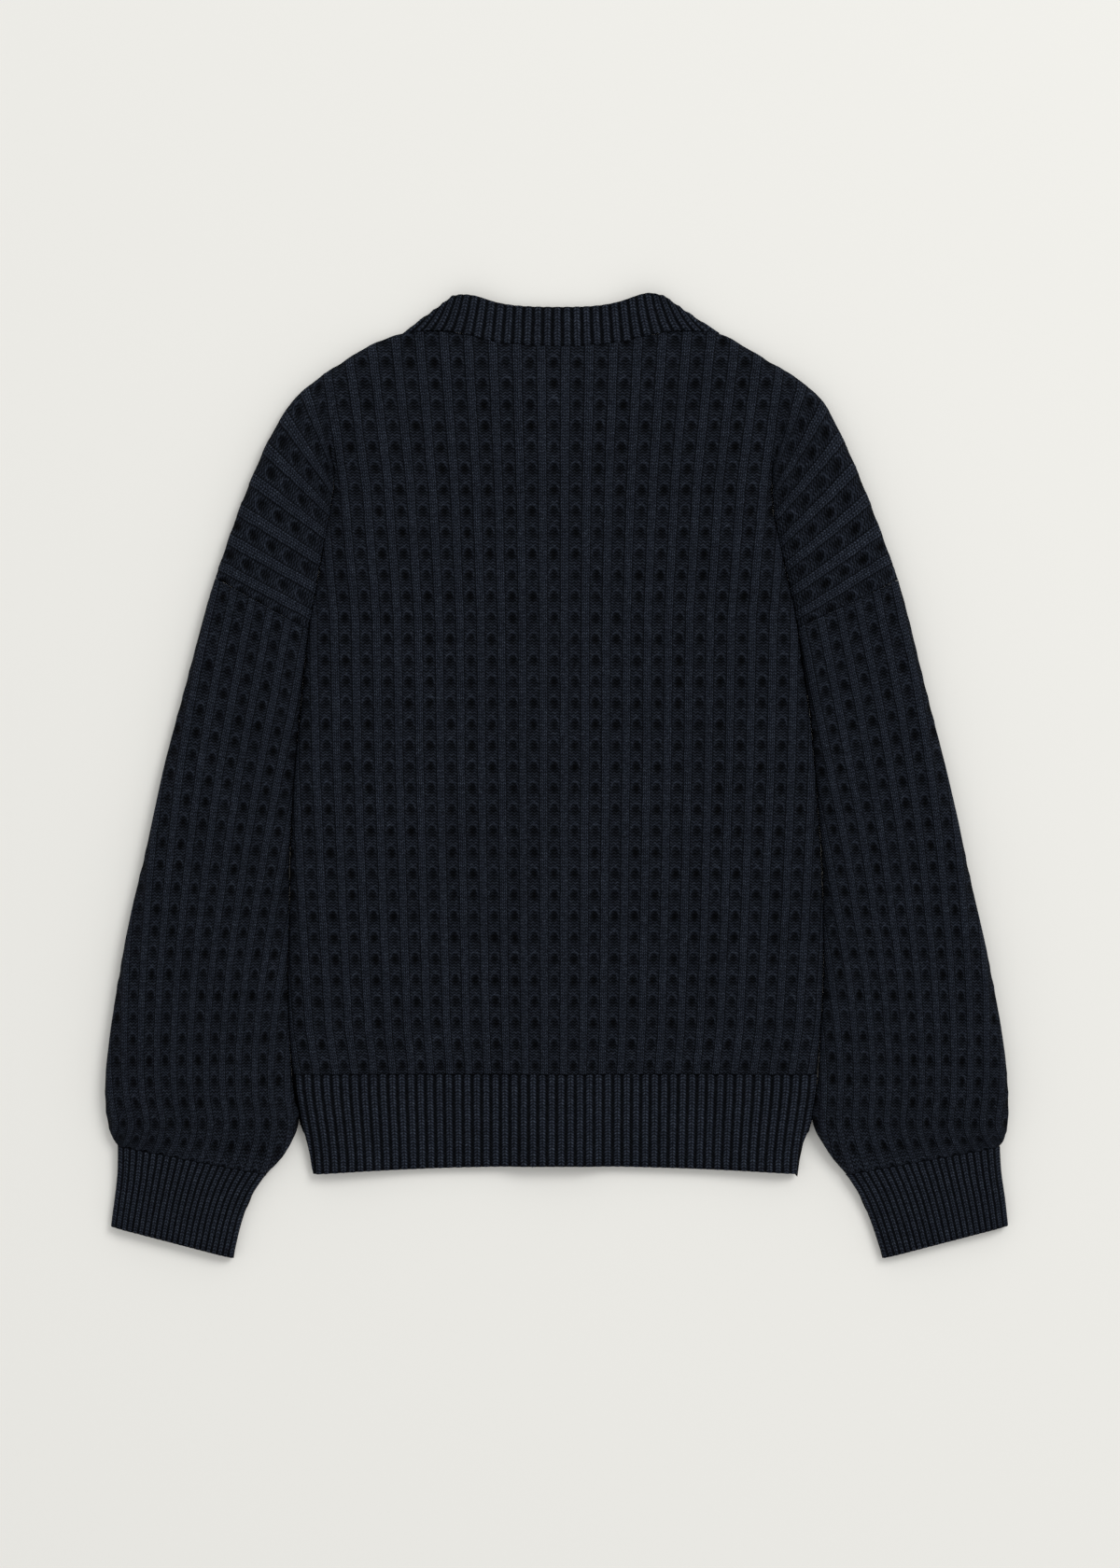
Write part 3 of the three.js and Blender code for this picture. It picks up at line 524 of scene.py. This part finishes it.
def makeWool(name, ridgeHalf, wales, bumpMm, hasCells):
    # plied wool, knitted then steamed: matt, a little hairy, heathered dark blue
    material, tree = newMaterial(name)
    uv = addNode(tree, "ShaderNodeUVMap", {"uv_map": "knit"}).outputs[0]
    place = addNode(tree, "ShaderNodeTexCoord").outputs["Object"]
    # the yarn wanders a little, so no two stitches stand quite in line
    wander = addNode(tree, "ShaderNodeTexNoise", Vector=place, Scale=140.0, Detail=1.0)
    drift = addNode(tree, "ShaderNodeVectorMath", {"operation": "MULTIPLY_ADD"},
                    i0=wander.outputs[1], i1=wool["wander"], i2=uv)
    split = addNode(tree, "ShaderNodeSeparateXYZ", Vector=drift.outputs[0])
    fibre = addNode(tree, "ShaderNodeTexNoise", Vector=place, Scale=1100.0, Detail=2.0, Roughness=0.7)
    cloud = addNode(tree, "ShaderNodeTexNoise", Vector=place, Scale=45.0, Detail=2.0)
    heather = addNode(tree, "ShaderNodeTexNoise", Vector=place, Scale=500.0, Detail=2.0, Roughness=0.6)
    # the hollow attribute, used below to paint low stitches darker as shade
    depth = addNode(tree, "ShaderNodeAttribute", {"attribute_name": "hollow"}).outputs["Fac"]

    circle = 2 * math.pi
    soft = {"use_clamp": True}
    # each row makes a value: its name, the sum or node, then what goes in, by name or as a number
    rows = [
        ("ribPlace", "FRACT", "ribs"),
        ("fromRib", "SUBTRACT", "ribPlace", 0.5),
        ("courses", "MULTIPLY", "cells", wool["stitchesPerCell"]),
        ("signedRidge", "DIVIDE", "fromRib", ridgeHalf),
        ("onRidge", "ABSOLUTE", "signedRidge"),
        ("isRidge", "LESS_THAN", "onRidge", 1.0),
    ]
    # over one wale, leg is 0 down its middle and 1 at its sides
    if wales == 2:
        rows += [("twoWales", "MULTIPLY", "onRidge", 2.0), ("oneWale", "SUBTRACT", "twoWales", 1.0),
                 ("leg", "ABSOLUTE", "oneWale")]
    else:
        rows += [("leg", "ABSOLUTE", "onRidge")]
    rows += [
        # knit side: a column of Vs with rounded legs; as painted light the crowns of the legs come out
        # lighter and their sides darker, and the same values raise the bump
        ("legOff", "MULTIPLY_ADD", "leg", 2.0, -1.0),
        ("legSquare", "MULTIPLY", "legOff", "legOff"),
        ("legRound", "MULTIPLY_ADD", "legSquare", -0.85, 1.0),
        ("veeRise", "MULTIPLY_ADD", "leg", 0.6, "courses"),
        ("veeTurn", "MULTIPLY", "veeRise", circle),
        ("vee", "SINE", "veeTurn"),
        ("veeHigh", "MULTIPLY_ADD", "vee", 0.42, 0.58),
        ("plain", "MULTIPLY", "veeHigh", "legRound"),
        # purl side: short bumps lying across, kept low so that the purl ground is painted darker than the
        # ribs
        ("acrossTurn", "MULTIPLY", "ribs", circle * 5),
        ("across", "SINE", "acrossTurn"),
        ("courseTurn", "MULTIPLY", "courses", circle),
        ("purlTurn", "MULTIPLY_ADD", "across", 1.4, "courseTurn"),
        ("purlWave", "SINE", "purlTurn"),
        ("purlHigh", "MULTIPLY_ADD", "purlWave", 0.19, 0.21),
        ("purl", "MULTIPLY", "purlHigh", 1.0 if hasCells else 0.35),
        ("stitchStep", "SUBTRACT", "plain", "purl"),
        ("stitch", "MULTIPLY_ADD", "stitchStep", "isRidge", "purl"),
        # painted light and shade: raised knit stitches are drawn lighter and the purl ground darker
        ("shade", "MULTIPLY_ADD", "stitch", wool["stitchPaintedLight"], wool["darkest"]),
        ("height", "ADD", "stitch", 0.0),
    ]
    if hasCells:
        rows += [
            # a tuck cell between ribs: its pit is sunk in the bump and painted dark as shade
            ("halfOn", "ADD", "ribs", 0.5),
            ("halfPlace", "FRACT", "halfOn"),
            ("cellU", "SUBTRACT", "halfPlace", 0.5),
            ("cellPlace", "FRACT", "cells"),
            ("cellV", "SUBTRACT", "cellPlace", 0.5),
            ("offU", "DIVIDE", "cellU", 0.15),
            ("lowV", "ADD", "cellV", 0.06),
            ("offV", "DIVIDE", "lowV", 0.24),
            ("squareU", "MULTIPLY", "offU", "offU"),
            ("squareV", "MULTIPLY", "offV", "offV"),
            ("squares", "ADD", "squareU", "squareV"),
            ("ring", "SQRT", "squares"),
            ("pitEdge", "MULTIPLY_ADD", "ring", 0.85, -0.35, soft),
            ("pitFull", "SUBTRACT", 1.0, "pitEdge"),
            # some cells are drawn tighter than others
            ("ribNumber", "ROUND", "ribs"),
            ("cellNumber", "FLOOR", "cells"),
            ("cellName", "ShaderNodeCombineXYZ", "ribNumber", "cellNumber"),
            ("chance", "ShaderNodeTexWhiteNoise", "cellName", {"noise_dimensions": "2D"}),
            ("pitShare", "MULTIPLY_ADD", "chance", 0.5, 0.5),
            ("pit", "MULTIPLY", "pitFull", "pitShare"),
            # the slipped strand arches over the cell: raised in the bump, and painted pale as a highlight
            ("isTop", "MULTIPLY_ADD", "cellV", 6.0, 0.6, soft),
            ("offArch", "SUBTRACT", "ring", 1.45),
            ("archSteps", "DIVIDE", "offArch", 0.28),
            ("archSquare", "MULTIPLY", "archSteps", "archSteps"),
            ("archFall", "MULTIPLY", "archSquare", -1.0),
            ("archBell", "EXPONENT", "archFall"),
            ("arch", "MULTIPLY", "archBell", "isTop"),
            # painted shade: a dark line down each side of a rib, where the groove lies in shadow
            ("offSide", "SUBTRACT", "onRidge", 1.08),
            ("sideSteps", "DIVIDE", "offSide", 0.14),
            ("sideSquare", "MULTIPLY", "sideSteps", "sideSteps"),
            ("sideFall", "MULTIPLY", "sideSquare", -1.0),
            ("side", "EXPONENT", "sideFall"),
            # painted shade: the colour is darkened inside each pit
            ("pitShade", "MULTIPLY_ADD", "pit", wool["pitPaintedShade"], 1.0),
            # painted shade: the colour is darkened along both sides of each rib
            ("sideShade", "MULTIPLY_ADD", "side", wool["sideLinePaintedShade"], 1.0),
            ("shadeInPits", "MULTIPLY", "shade", "pitShade"),
            ("shadeAtSides", "MULTIPLY", "shadeInPits", "sideShade"),
            # painted highlight: the arch is drawn lighter in the colour
            ("shade", "MULTIPLY_ADD", "arch", wool["archPaintedHighlight"], "shadeAtSides"),
            ("archHeight", "MULTIPLY_ADD", "arch", 0.9, "stitch"),
            ("height", "MULTIPLY_ADD", "pit", -1.2, "archHeight"),
        ]
    rows += [
        ("hairHeight", "MULTIPLY_ADD", "fibre", 0.35, "height"),
        # low stitches get less light between the hairs
        ("depthShade", "MULTIPLY_ADD", "depth", -0.35, 1.0),
        ("cloudShade", "MULTIPLY_ADD", "cloud", 0.4, 0.8),
        ("litByDepth", "MULTIPLY", "shade", "depthShade"),
        ("lit", "MULTIPLY", "litByDepth", "cloudShade"),
    ]
    values = {"ribs": split.outputs[0], "cells": split.outputs[1], "fibre": fibre.outputs[0],
              "cloud": cloud.outputs[0], "depth": depth}
    for valueName, kind, *given in rows:
        isNode = kind.startswith("ShaderNode")
        settings = {} if isNode else {"operation": kind}
        for part in given:
            settings.update(part if isinstance(part, dict) else {})
        parts = [part for part in given if not isinstance(part, dict)]
        inputs = {f"i{n}": values[part] if isinstance(part, str) else part for n, part in enumerate(parts)}
        node = addNode(tree, kind if isNode else "ShaderNodeMath", settings, **inputs)
        values[valueName] = node.outputs[0]

    bump = addNode(tree, "ShaderNodeBump", Strength=1.0, Distance=bumpMm * mm, Height=values["hairHeight"])
    tone = addNode(tree, "ShaderNodeValToRGB", Fac=heather.outputs[0])
    tone.color_ramp.elements[0].position = 0.25
    tone.color_ramp.elements[0].color = linearColour(wool["dark"])
    tone.color_ramp.elements[1].position = 0.75
    tone.color_ramp.elements[1].color = linearColour(wool["light"])
    tone.color_ramp.elements.new(0.5).color = linearColour(wool["navy"])
    lit = values["lit"]
    grey = addNode(tree, "ShaderNodeCombineColor", Red=lit, Green=lit, Blue=lit)
    colour = addNode(tree, "ShaderNodeMix", {"data_type": "RGBA", "blend_type": "MULTIPLY"},
                     i0=1.0, i6=tone.outputs[0], i7=grey.outputs[0])
    shader = addNode(tree, "ShaderNodeBsdfPrincipled", Base_Color=colour.outputs[2], Roughness=0.95,
                     Specular_IOR_Level=0.05, Normal=bump.outputs[0])
    addNode(tree, "ShaderNodeOutputMaterial", Surface=shader.outputs[0])
    return material


bodyWool = makeWool("tuckRibWool", knit["ridgeHalf"], wales=2, bumpMm=1.1, hasCells=True)
ribWool = makeWool("oneByOneRibWool", 0.37, wales=1, bumpMm=0.8, hasCells=False)
print("wool ready")


# ---- body panels ----
bodyGrid = {"wideMm": 320, "acrossMm": 1.75, "upMm": 2.4, "lobeLongMm": 165, "lobeMm": 1.75,
            "shoulderMm": 60, "shoulderStepMm": 3.0}
lobeKnit = {"ribs": 7.2, "innerMm": 58.6, "outerMm": 74, "blendShare": 0.35}
sunkUnder = 1.9  # the underside rests on its ridges
shoulderShares = rollSteps(bodyGrid["shoulderMm"], bodyGrid["shoulderStepMm"], bodyRound)
shoulderShares = shoulderShares / bodyGrid["shoulderMm"]


def lobePatch(side, up, sunk):
    fold = smoothLine(lobeCut[side]["fold"])
    hollow = hollowLine(lobeCut, side)
    columns = np.linspace(0, len(fold) - 1, int(bodyGrid["lobeLongMm"] / bodyGrid["lobeMm"]))
    index = np.arange(len(fold))
    a = np.stack([np.interp(columns, index, hollow[:, k]) for k in (0, 1)], 1)
    b = np.stack([np.interp(columns, index, fold[:, k]) for k in (0, 1)], 1)
    t = shoulderShares[:, None]
    x = mix(a[None, :, 0], b[None, :, 0], t)
    y = mix(a[None, :, 1], b[None, :, 1], t)
    share = np.broadcast_to(columns[None, :] / columns[-1], x.shape)
    body, arm = bodyLayers(x, y), armLayers(x, y)
    blend = ease(share / lobeKnit["blendShare"])
    layers = [mix(body[k], arm[k], blend) for k in (0, 1)]
    distance = edgeDistance(x, y)
    z = upperZ(x, y, layers, 0, distance) if up > 0 else lowerZ(layers, 0, distance, 0)
    # the shared rib line keeps the body's own count, and the lobe's ribs lie beyond it
    sharedU = bodyU(mix(a[0, 0], b[0, 0], t), mix(a[0, 1], b[0, 1], t))
    u = sharedU + signOf[side] * lobeKnit["ribs"] * share
    v = (pivotY + t * mix(lobeKnit["innerMm"], lobeKnit["outerMm"], share)) / knit["cellMm"]
    relief, pit = cellRelief(u, v)
    return patch(x, y, z, u, v, calmAtEdge(relief, distance) - sunk, pit, up, rim=distance == 0)


def sideEdges(level, share, side):
    # left and right x at each level; share is how far up from the pivot to the shoulder
    edges = {}
    for name in signOf:
        below = readLine(bodyLine[name], level, 1, 0)
        edges[name] = np.where(share > 0, mix(pivotX[name], shoulderX[name], share), below)
    if side:
        edges["right" if side == "left" else "left"] = np.full(len(level), signOf[side] * bandStart)
    return edges["left"], edges["right"]


def spreadColumns(left, right, side, count, rollCount):
    # the back rolls round at both sides, a front only at its own
    rollLeft, rollRight = side != "right", side != "left"
    roll = rollOffsets(bodyRound, rollCount)
    innerLeft = left + (bodyRound if rollLeft else 0)
    innerRight = right - (bodyRound if rollRight else 0)
    middle = np.linspace(0, 1, count)
    parts = [left[:, None] + roll[None, :-1]] if rollLeft else []
    parts.append(innerLeft[:, None] + (innerRight - innerLeft)[:, None] * middle[None, :])
    if rollRight:
        parts.append(right[:, None] - roll[None, -2::-1])
    return np.hstack(parts)


def bodyPlan(side):
    # side is None for the back, or names a front, which starts at the band
    lower = np.linspace(hemSeamY + seamGap / 2, pivotY, int((pivotY - hemSeamY) / bodyGrid["upMm"]))
    share = np.concatenate([np.zeros(len(lower)), shoulderShares[1:]])
    level = np.concatenate([lower, np.full(len(shoulderShares) - 1, pivotY)])
    left, right = sideEdges(level, share, side)
    count = int(bodyGrid["wideMm"] * (0.5 if side else 1) / bodyGrid["acrossMm"])
    x = spreadColumns(left, right, side, count, rollCount=9)
    topX = x[-1]
    topY = readLine(shoulderLine, topX, 0, 1)
    if side:
        # the round front neck, a quarter of an ellipse
        neckEnd = shoulderCut["neckEnd"][side]
        out = np.clip((np.abs(topX) - bandStart) / (abs(neckEnd) - bandStart), 0, 1)
        shoulder = readLine(shoulderLine, neckEnd, 0, 1)
        neck = shoulder - (shoulder - neckbandCut["frontSeamY"]) * np.sqrt(1 - out ** 2)
        topY = np.where(out < 1, neck, topY)
    y = level[:, None] + share[:, None] * (topY[None, :] - pivotY)
    return x, y


def bodyPatch(side, up, sunk):
    x, y = bodyPlan(side)
    distance = edgeDistance(x, y)
    layers = bodyLayers(x, y)
    if up > 0:
        z = upperZ(x, y, layers, bandLift(x, y), distance)
    else:
        z = lowerZ(layers, bandLift(x, np.minimum(y, bandFade["full"])), distance, bandZ[side])
    u = bodyU(x, y)
    v = y / knit["cellMm"]
    relief, pit = cellRelief(u, v)
    return patch(x, y, z, u, v, calmAtEdge(relief, distance) - sunk, pit, up, rim=distance == 0)


def makeBack():
    parts = [bodyPatch(None, 1, 0), lobePatch("left", 1, 0), lobePatch("right", 1, 0)]
    piece = buildShell("backPanel", parts, thick["main"])
    finishCloth(piece, "back", bodyWool)


def makeFront(side):
    parts = [bodyPatch(side, -1, sunkUnder), lobePatch(side, -1, sunkUnder)]
    piece = buildShell("frontPanel" + side.capitalize(), parts, thick["under"])
    finishCloth(piece, "front_" + side, bodyWool)


makeBack()
for side in signOf:
    makeFront(side)


# ---- hems: ribs slant in a little towards the corners, and the edge is higher in the middle ----
hemKnit = {"rows": 16, "backColumns": 360, "frontColumns": 170, "rollCount": 16, "pitchMm": 6.38,
           "shift": 0.1, "longMm": 68, "cornerX": 165, "middleRise": 5.5, "slant": 0.045, "sunk": 0.7}


def hemPatch(side, up):
    rows = np.linspace(0, 1, hemKnit["rows"])
    level = hemSeamY - seamGap / 2 - rows * hemKnit["longMm"]
    left, right = sideEdges(level, 0 * rows, side)
    count = hemKnit["frontColumns"] if side else hemKnit["backColumns"]
    x = spreadColumns(left, right, side, count, hemKnit["rollCount"])
    corner = np.clip(np.abs(x) / hemKnit["cornerX"], 0, 1) ** 2
    y = level[:, None] + rows[:, None] * hemKnit["middleRise"] * (1 - corner)
    distance = edgeDistance(x, y)
    layers = bodyLayers(x, y)
    lift = bandLift(x, y)
    if up > 0:
        z = upperZ(x, y, layers, lift, distance)
    else:
        z = lowerZ(layers, lift, distance, bandZ[side])
    down = ease((hemSeamY - y) / hemKnit["longMm"])
    pull = 1 + hemKnit["slant"] * down * (np.abs(x) / hemKnit["cornerX"]) ** 2
    u = x * pull / hemKnit["pitchMm"] + hemKnit["shift"]
    relief, hollow = ribRelief(u)
    relief = relief - (0 if up > 0 else hemKnit["sunk"])
    return patch(x, y, z, u, y / knit["cellMm"], relief, hollow, up, rim=distance == 0)


def makeHems():
    piece = buildShell("hemBack", [hemPatch(None, 1)], thick["rib"])
    finishCloth(piece, "hem_back", ribWool)
    for side in signOf:
        piece = buildShell("hemFront" + side.capitalize(), [hemPatch(side, -1)], thick["under"])
        finishCloth(piece, "hem_front_" + side, ribWool)


makeHems()


# ---- sleeves and cuffs: ribs follow the middle of the arm and crowd together towards the cuff ----
armKnit = {"wideMm": 110, "topPitch": 14.0, "cuffPitch": 10.8, "sunk": 1.6}
sleeveGrid = {"rowMm": 2.3, "acrossMm": 1.7, "underMm": 2.55, "round": bodyRound, "waves": 1}
cuffGrid = {"rowMm": 3.5, "acrossMm": 0.75, "underMm": 0.75, "round": underRound, "waves": 0.3}
cuffKnit = {"ribs": 22, "share": 0.75, "sunk": 0.55}


def armSections(cut, side, rowMm):
    # both ends of every section across the arm; the first one stands off its seam
    fold = smoothLine(cut[side]["fold"])
    hollow = hollowLine(cut, side)
    length = np.sum(np.hypot(*np.diff((fold + hollow) / 2, axis=0).T))
    rows = np.linspace(0, len(fold) - 1, int(length / rowMm))
    index = np.arange(len(fold))
    a = np.stack([np.interp(rows, index, hollow[:, k]) for k in (0, 1)], 1)
    b = np.stack([np.interp(rows, index, fold[:, k]) for k in (0, 1)], 1)
    along = (a[1] + b[1]) / 2 - (a[0] + b[0]) / 2
    along = along / np.hypot(*along) * seamGap
    a[0] += along
    b[0] += along
    return a, b


def tubePatches(cut, side, grid, isCuff):
    a, b = armSections(cut, side, grid["rowMm"])
    wide = np.hypot(*(b - a).T)
    travelled = np.concatenate([[0], np.cumsum(np.hypot(*np.diff((a + b) / 2, axis=0).T))])
    parts = []
    for up in (1, -1):
        step = grid["acrossMm"] if up > 0 else grid["underMm"]
        steps = rollSteps(armKnit["wideMm"], step, grid["round"]) / armKnit["wideMm"]
        x = a[:, 0:1] + (b - a)[:, 0:1] * steps[None, :]
        y = a[:, 1:2] + (b - a)[:, 1:2] * steps[None, :]
        high, between = armLayers(x, y)
        distance = edgeDistance(x, y)
        distance[:, [0, -1]] = 0
        if up > 0:
            z = mix(between, high + lieOfCloth(x, y) * grid["waves"], roundIn(distance, bodyRound))
        else:
            z = mix(between, 0, roundIn(distance, underRound))
        v = -(travelled[:, None] + 0 * x) / knit["cellMm"]
        if isCuff:
            u = steps[None, :] * cuffKnit["ribs"] + 0 * x
            relief, hollowness = ribRelief(u)
            relief = cuffKnit["share"] * relief - (0 if up > 0 else cuffKnit["sunk"])
        else:
            pitch = mix(armKnit["topPitch"], armKnit["cuffPitch"], ease(travelled / travelled[-1]))
            u = (steps[None, :] - 0.5) * wide[:, None] / pitch[:, None]
            relief, hollowness = cellRelief(u, v, slack=1.0)
            relief = calmAtEdge(relief, distance) - (0 if up > 0 else armKnit["sunk"])
        parts.append(patch(x, y, z, u, v, relief, hollowness, up))
    return parts


def makeArms():
    for side in signOf:
        name = side.capitalize()
        piece = buildShell("sleeve" + name, tubePatches(sleeveCut, side, sleeveGrid, False), thick["main"])
        finishCloth(piece, "sleeve_" + side, bodyWool)
        piece = buildShell("cuff" + name, tubePatches(cuffCut, side, cuffGrid, True), thick["under"])
        finishCloth(piece, "cuff_" + side, ribWool)


makeArms()


# ---- neckband: back part, folds at the shoulders, and the two front parts in one strip ----
neckKnit = {"rows": 12, "backColumns": 250, "frontColumns": 130, "foldMm": 6, "foldCount": 8,
            "pitchMm": 6.83, "middleHigh": 7.9, "topHigh": 5.6, "endHigh": 10.5, "between": 4.2,
            "endsFrom": 45, "endsTo": 80, "endsSlant": 0.9, "endsY": 301.5,
            "lean": 0.045, "leanEnds": 0.12, "leanX": 75, "startY": 290, "frontLongMm": 118, "sunk": 0.7}


def neckBackPatch(rise):
    ends = shoulderCut["neckEnd"]
    inset = rollOffsets(neckKnit["foldMm"], neckKnit["foldCount"])
    middle = np.linspace(ends["left"] + neckKnit["foldMm"], ends["right"] - neckKnit["foldMm"],
                         neckKnit["backColumns"])
    seamX = np.concatenate([ends["left"] + inset[:-1], middle, ends["right"] - inset[-2::-1]])
    share = (seamX - ends["left"]) / (ends["right"] - ends["left"])
    topX = mix(neckTopLine[0, 0], neckTopLine[-1, 0], share)
    seamY = readLine(shoulderLine, seamX, 0, 1) + seamGap
    topY = readLine(neckTopLine, topX, 0, 1)
    x = mix(seamX[None, :], topX[None, :], rise)
    y = mix(seamY[None, :], topY[None, :], rise)
    distance = edgeDistance(x, y)
    distance[:, [0, -1]] = 0
    toEnds = np.abs(x) + neckKnit["endsSlant"] * (y - neckKnit["endsY"])
    out = easeBetween(neckKnit["endsFrom"], neckKnit["endsTo"], toEnds)
    high = mix(mix(neckKnit["middleHigh"], neckKnit["topHigh"], rise), neckKnit["endHigh"], out)
    z = mix(neckKnit["between"], high, roundIn(distance, underRound))
    # ribs stand upright in the middle and lean in at the ends
    lean = neckKnit["lean"] + neckKnit["leanEnds"] * (np.abs(x) / neckKnit["leanX"]) ** 3
    u = x * (1 + rise * lean) / neckKnit["pitchMm"] + 0.5
    v = (y - neckKnit["startY"]) / knit["cellMm"]
    relief, hollow = ribRelief(u)
    return patch(x, y, z, u, v, relief, hollow, 1)


def neckFrontPatch(side, rise):
    sign = signOf[side]
    neckEnd = shoulderCut["neckEnd"][side]
    end = neckTopLine[0] if side == "left" else neckTopLine[-1]
    angle = np.linspace(0, math.pi / 2, neckKnit["frontColumns"])[None, :]
    shoulder = readLine(shoulderLine, neckEnd, 0, 1) + seamGap
    seamX = bandStart + (abs(neckEnd) - bandStart) * np.cos(angle)
    innerX = bandStart + (abs(end[0]) - bandStart) * np.cos(angle)
    seamY = shoulder - (shoulder - neckbandCut["frontSeamY"] - seamGap) * np.sin(angle)
    innerY = end[1] - (end[1] - bandTopY) * np.sin(angle)
    x = sign * mix(seamX, innerX, rise)
    y = mix(seamY, innerY, rise)
    distance = edgeDistance(x, y)
    distance[:, 0] = 0
    lift = bandLift(x, 0 * y)
    top = mix(neckKnit["between"], bandZ[side] + bandThick, lift)
    z = mix(top, bandZ[side] * lift, roundIn(distance, underRound))
    u = angle * neckKnit["frontLongMm"] / neckKnit["pitchMm"] + 0 * x
    relief, hollow = ribRelief(u)
    return patch(x, y, z, u, y / knit["cellMm"], relief - neckKnit["sunk"], hollow, -1)


def makeNeckband():
    rise = np.linspace(0, 1, neckKnit["rows"])[:, None]
    parts = [neckBackPatch(rise)] + [neckFrontPatch(side, rise) for side in signOf]
    piece = buildShell("neckbandRib", parts, thick["under"])
    finishCloth(piece, "neckband", ribWool)


makeNeckband()


# ---- front bands, knitted lengthways, with buttonholes in the outer one ----
buttonCount = 7
bandKnit = {"columns": 36, "rows": 318, "pitchMm": 6.38, "reliefShare": 0.45, "risenMm": 0.6,
            "wallMm": -1.7, "holeHalfWide": 8.5, "holeHalfHigh": 0.9}
buttonSpots = [tuple((a + b) / 2 for a, b in zip(*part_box(f"button_{i + 1}"))) for i in range(buttonCount)]


def makeFrontBand(node, name, z, withHoles):
    low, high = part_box(node)
    x = np.linspace(-bandHalf, bandHalf, bandKnit["columns"])[None, :]
    y = np.linspace(low[1] / mm, high[1] / mm, bandKnit["rows"])[:, None]
    x, y = x + 0 * y, y + 0 * x
    u = x / bandKnit["pitchMm"]
    relief, hollow = ribRelief(u)
    keep = None
    if withHoles:
        middleX = (x[:-1, 1:] + x[:-1, :-1]) / 2
        middleY = (y[1:, :-1] + y[:-1, :-1]) / 2
        isWide = np.abs(middleX) < bandKnit["holeHalfWide"]
        holes = [(np.abs(middleY - spot[1] / mm) < bandKnit["holeHalfHigh"]) & isWide
                 for spot in buttonSpots]
        keep = ~np.any(holes, axis=0)
    relief = bandKnit["reliefShare"] * relief
    part = patch(x, y, z + bandKnit["risenMm"] + 0 * x, u, y / knit["cellMm"], relief, hollow, -1, keep=keep)
    piece = buildShell(name, [part], bandKnit["wallMm"])
    finishCloth(piece, node, ribWool)


makeFrontBand("button_band", "buttonBand", bandZ["left"], False)
makeFrontBand("buttonhole_band", "buttonholeBand", bandZ["right"], True)


# ---- buttons ----
resinLook = {"dark": "#0e1117", "light": "#232833", "cloudScale": 220.0, "roughness": 0.32}


def makeResin():
    # cast polyester resin, tumbled to a satin shine, faintly clouded
    material, tree = newMaterial("castResin")
    place = addNode(tree, "ShaderNodeTexCoord").outputs["Object"]
    cloud = addNode(tree, "ShaderNodeTexNoise", Vector=place, Scale=resinLook["cloudScale"], Detail=4.0)
    tone = addNode(tree, "ShaderNodeValToRGB", Fac=cloud.outputs[0])
    tone.color_ramp.elements[0].color = linearColour(resinLook["dark"])
    tone.color_ramp.elements[1].color = linearColour(resinLook["light"])
    shader = addNode(tree, "ShaderNodeBsdfPrincipled", Base_Color=tone.outputs[0],
                     Roughness=resinLook["roughness"])
    addNode(tree, "ShaderNodeOutputMaterial", Surface=shader.outputs[0])
    return material


resin = makeResin()
for i in range(buttonCount):
    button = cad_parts[f"button_{i + 1}"]
    button.data.materials.clear()
    button.data.materials.append(resin)
print("buttons ready")
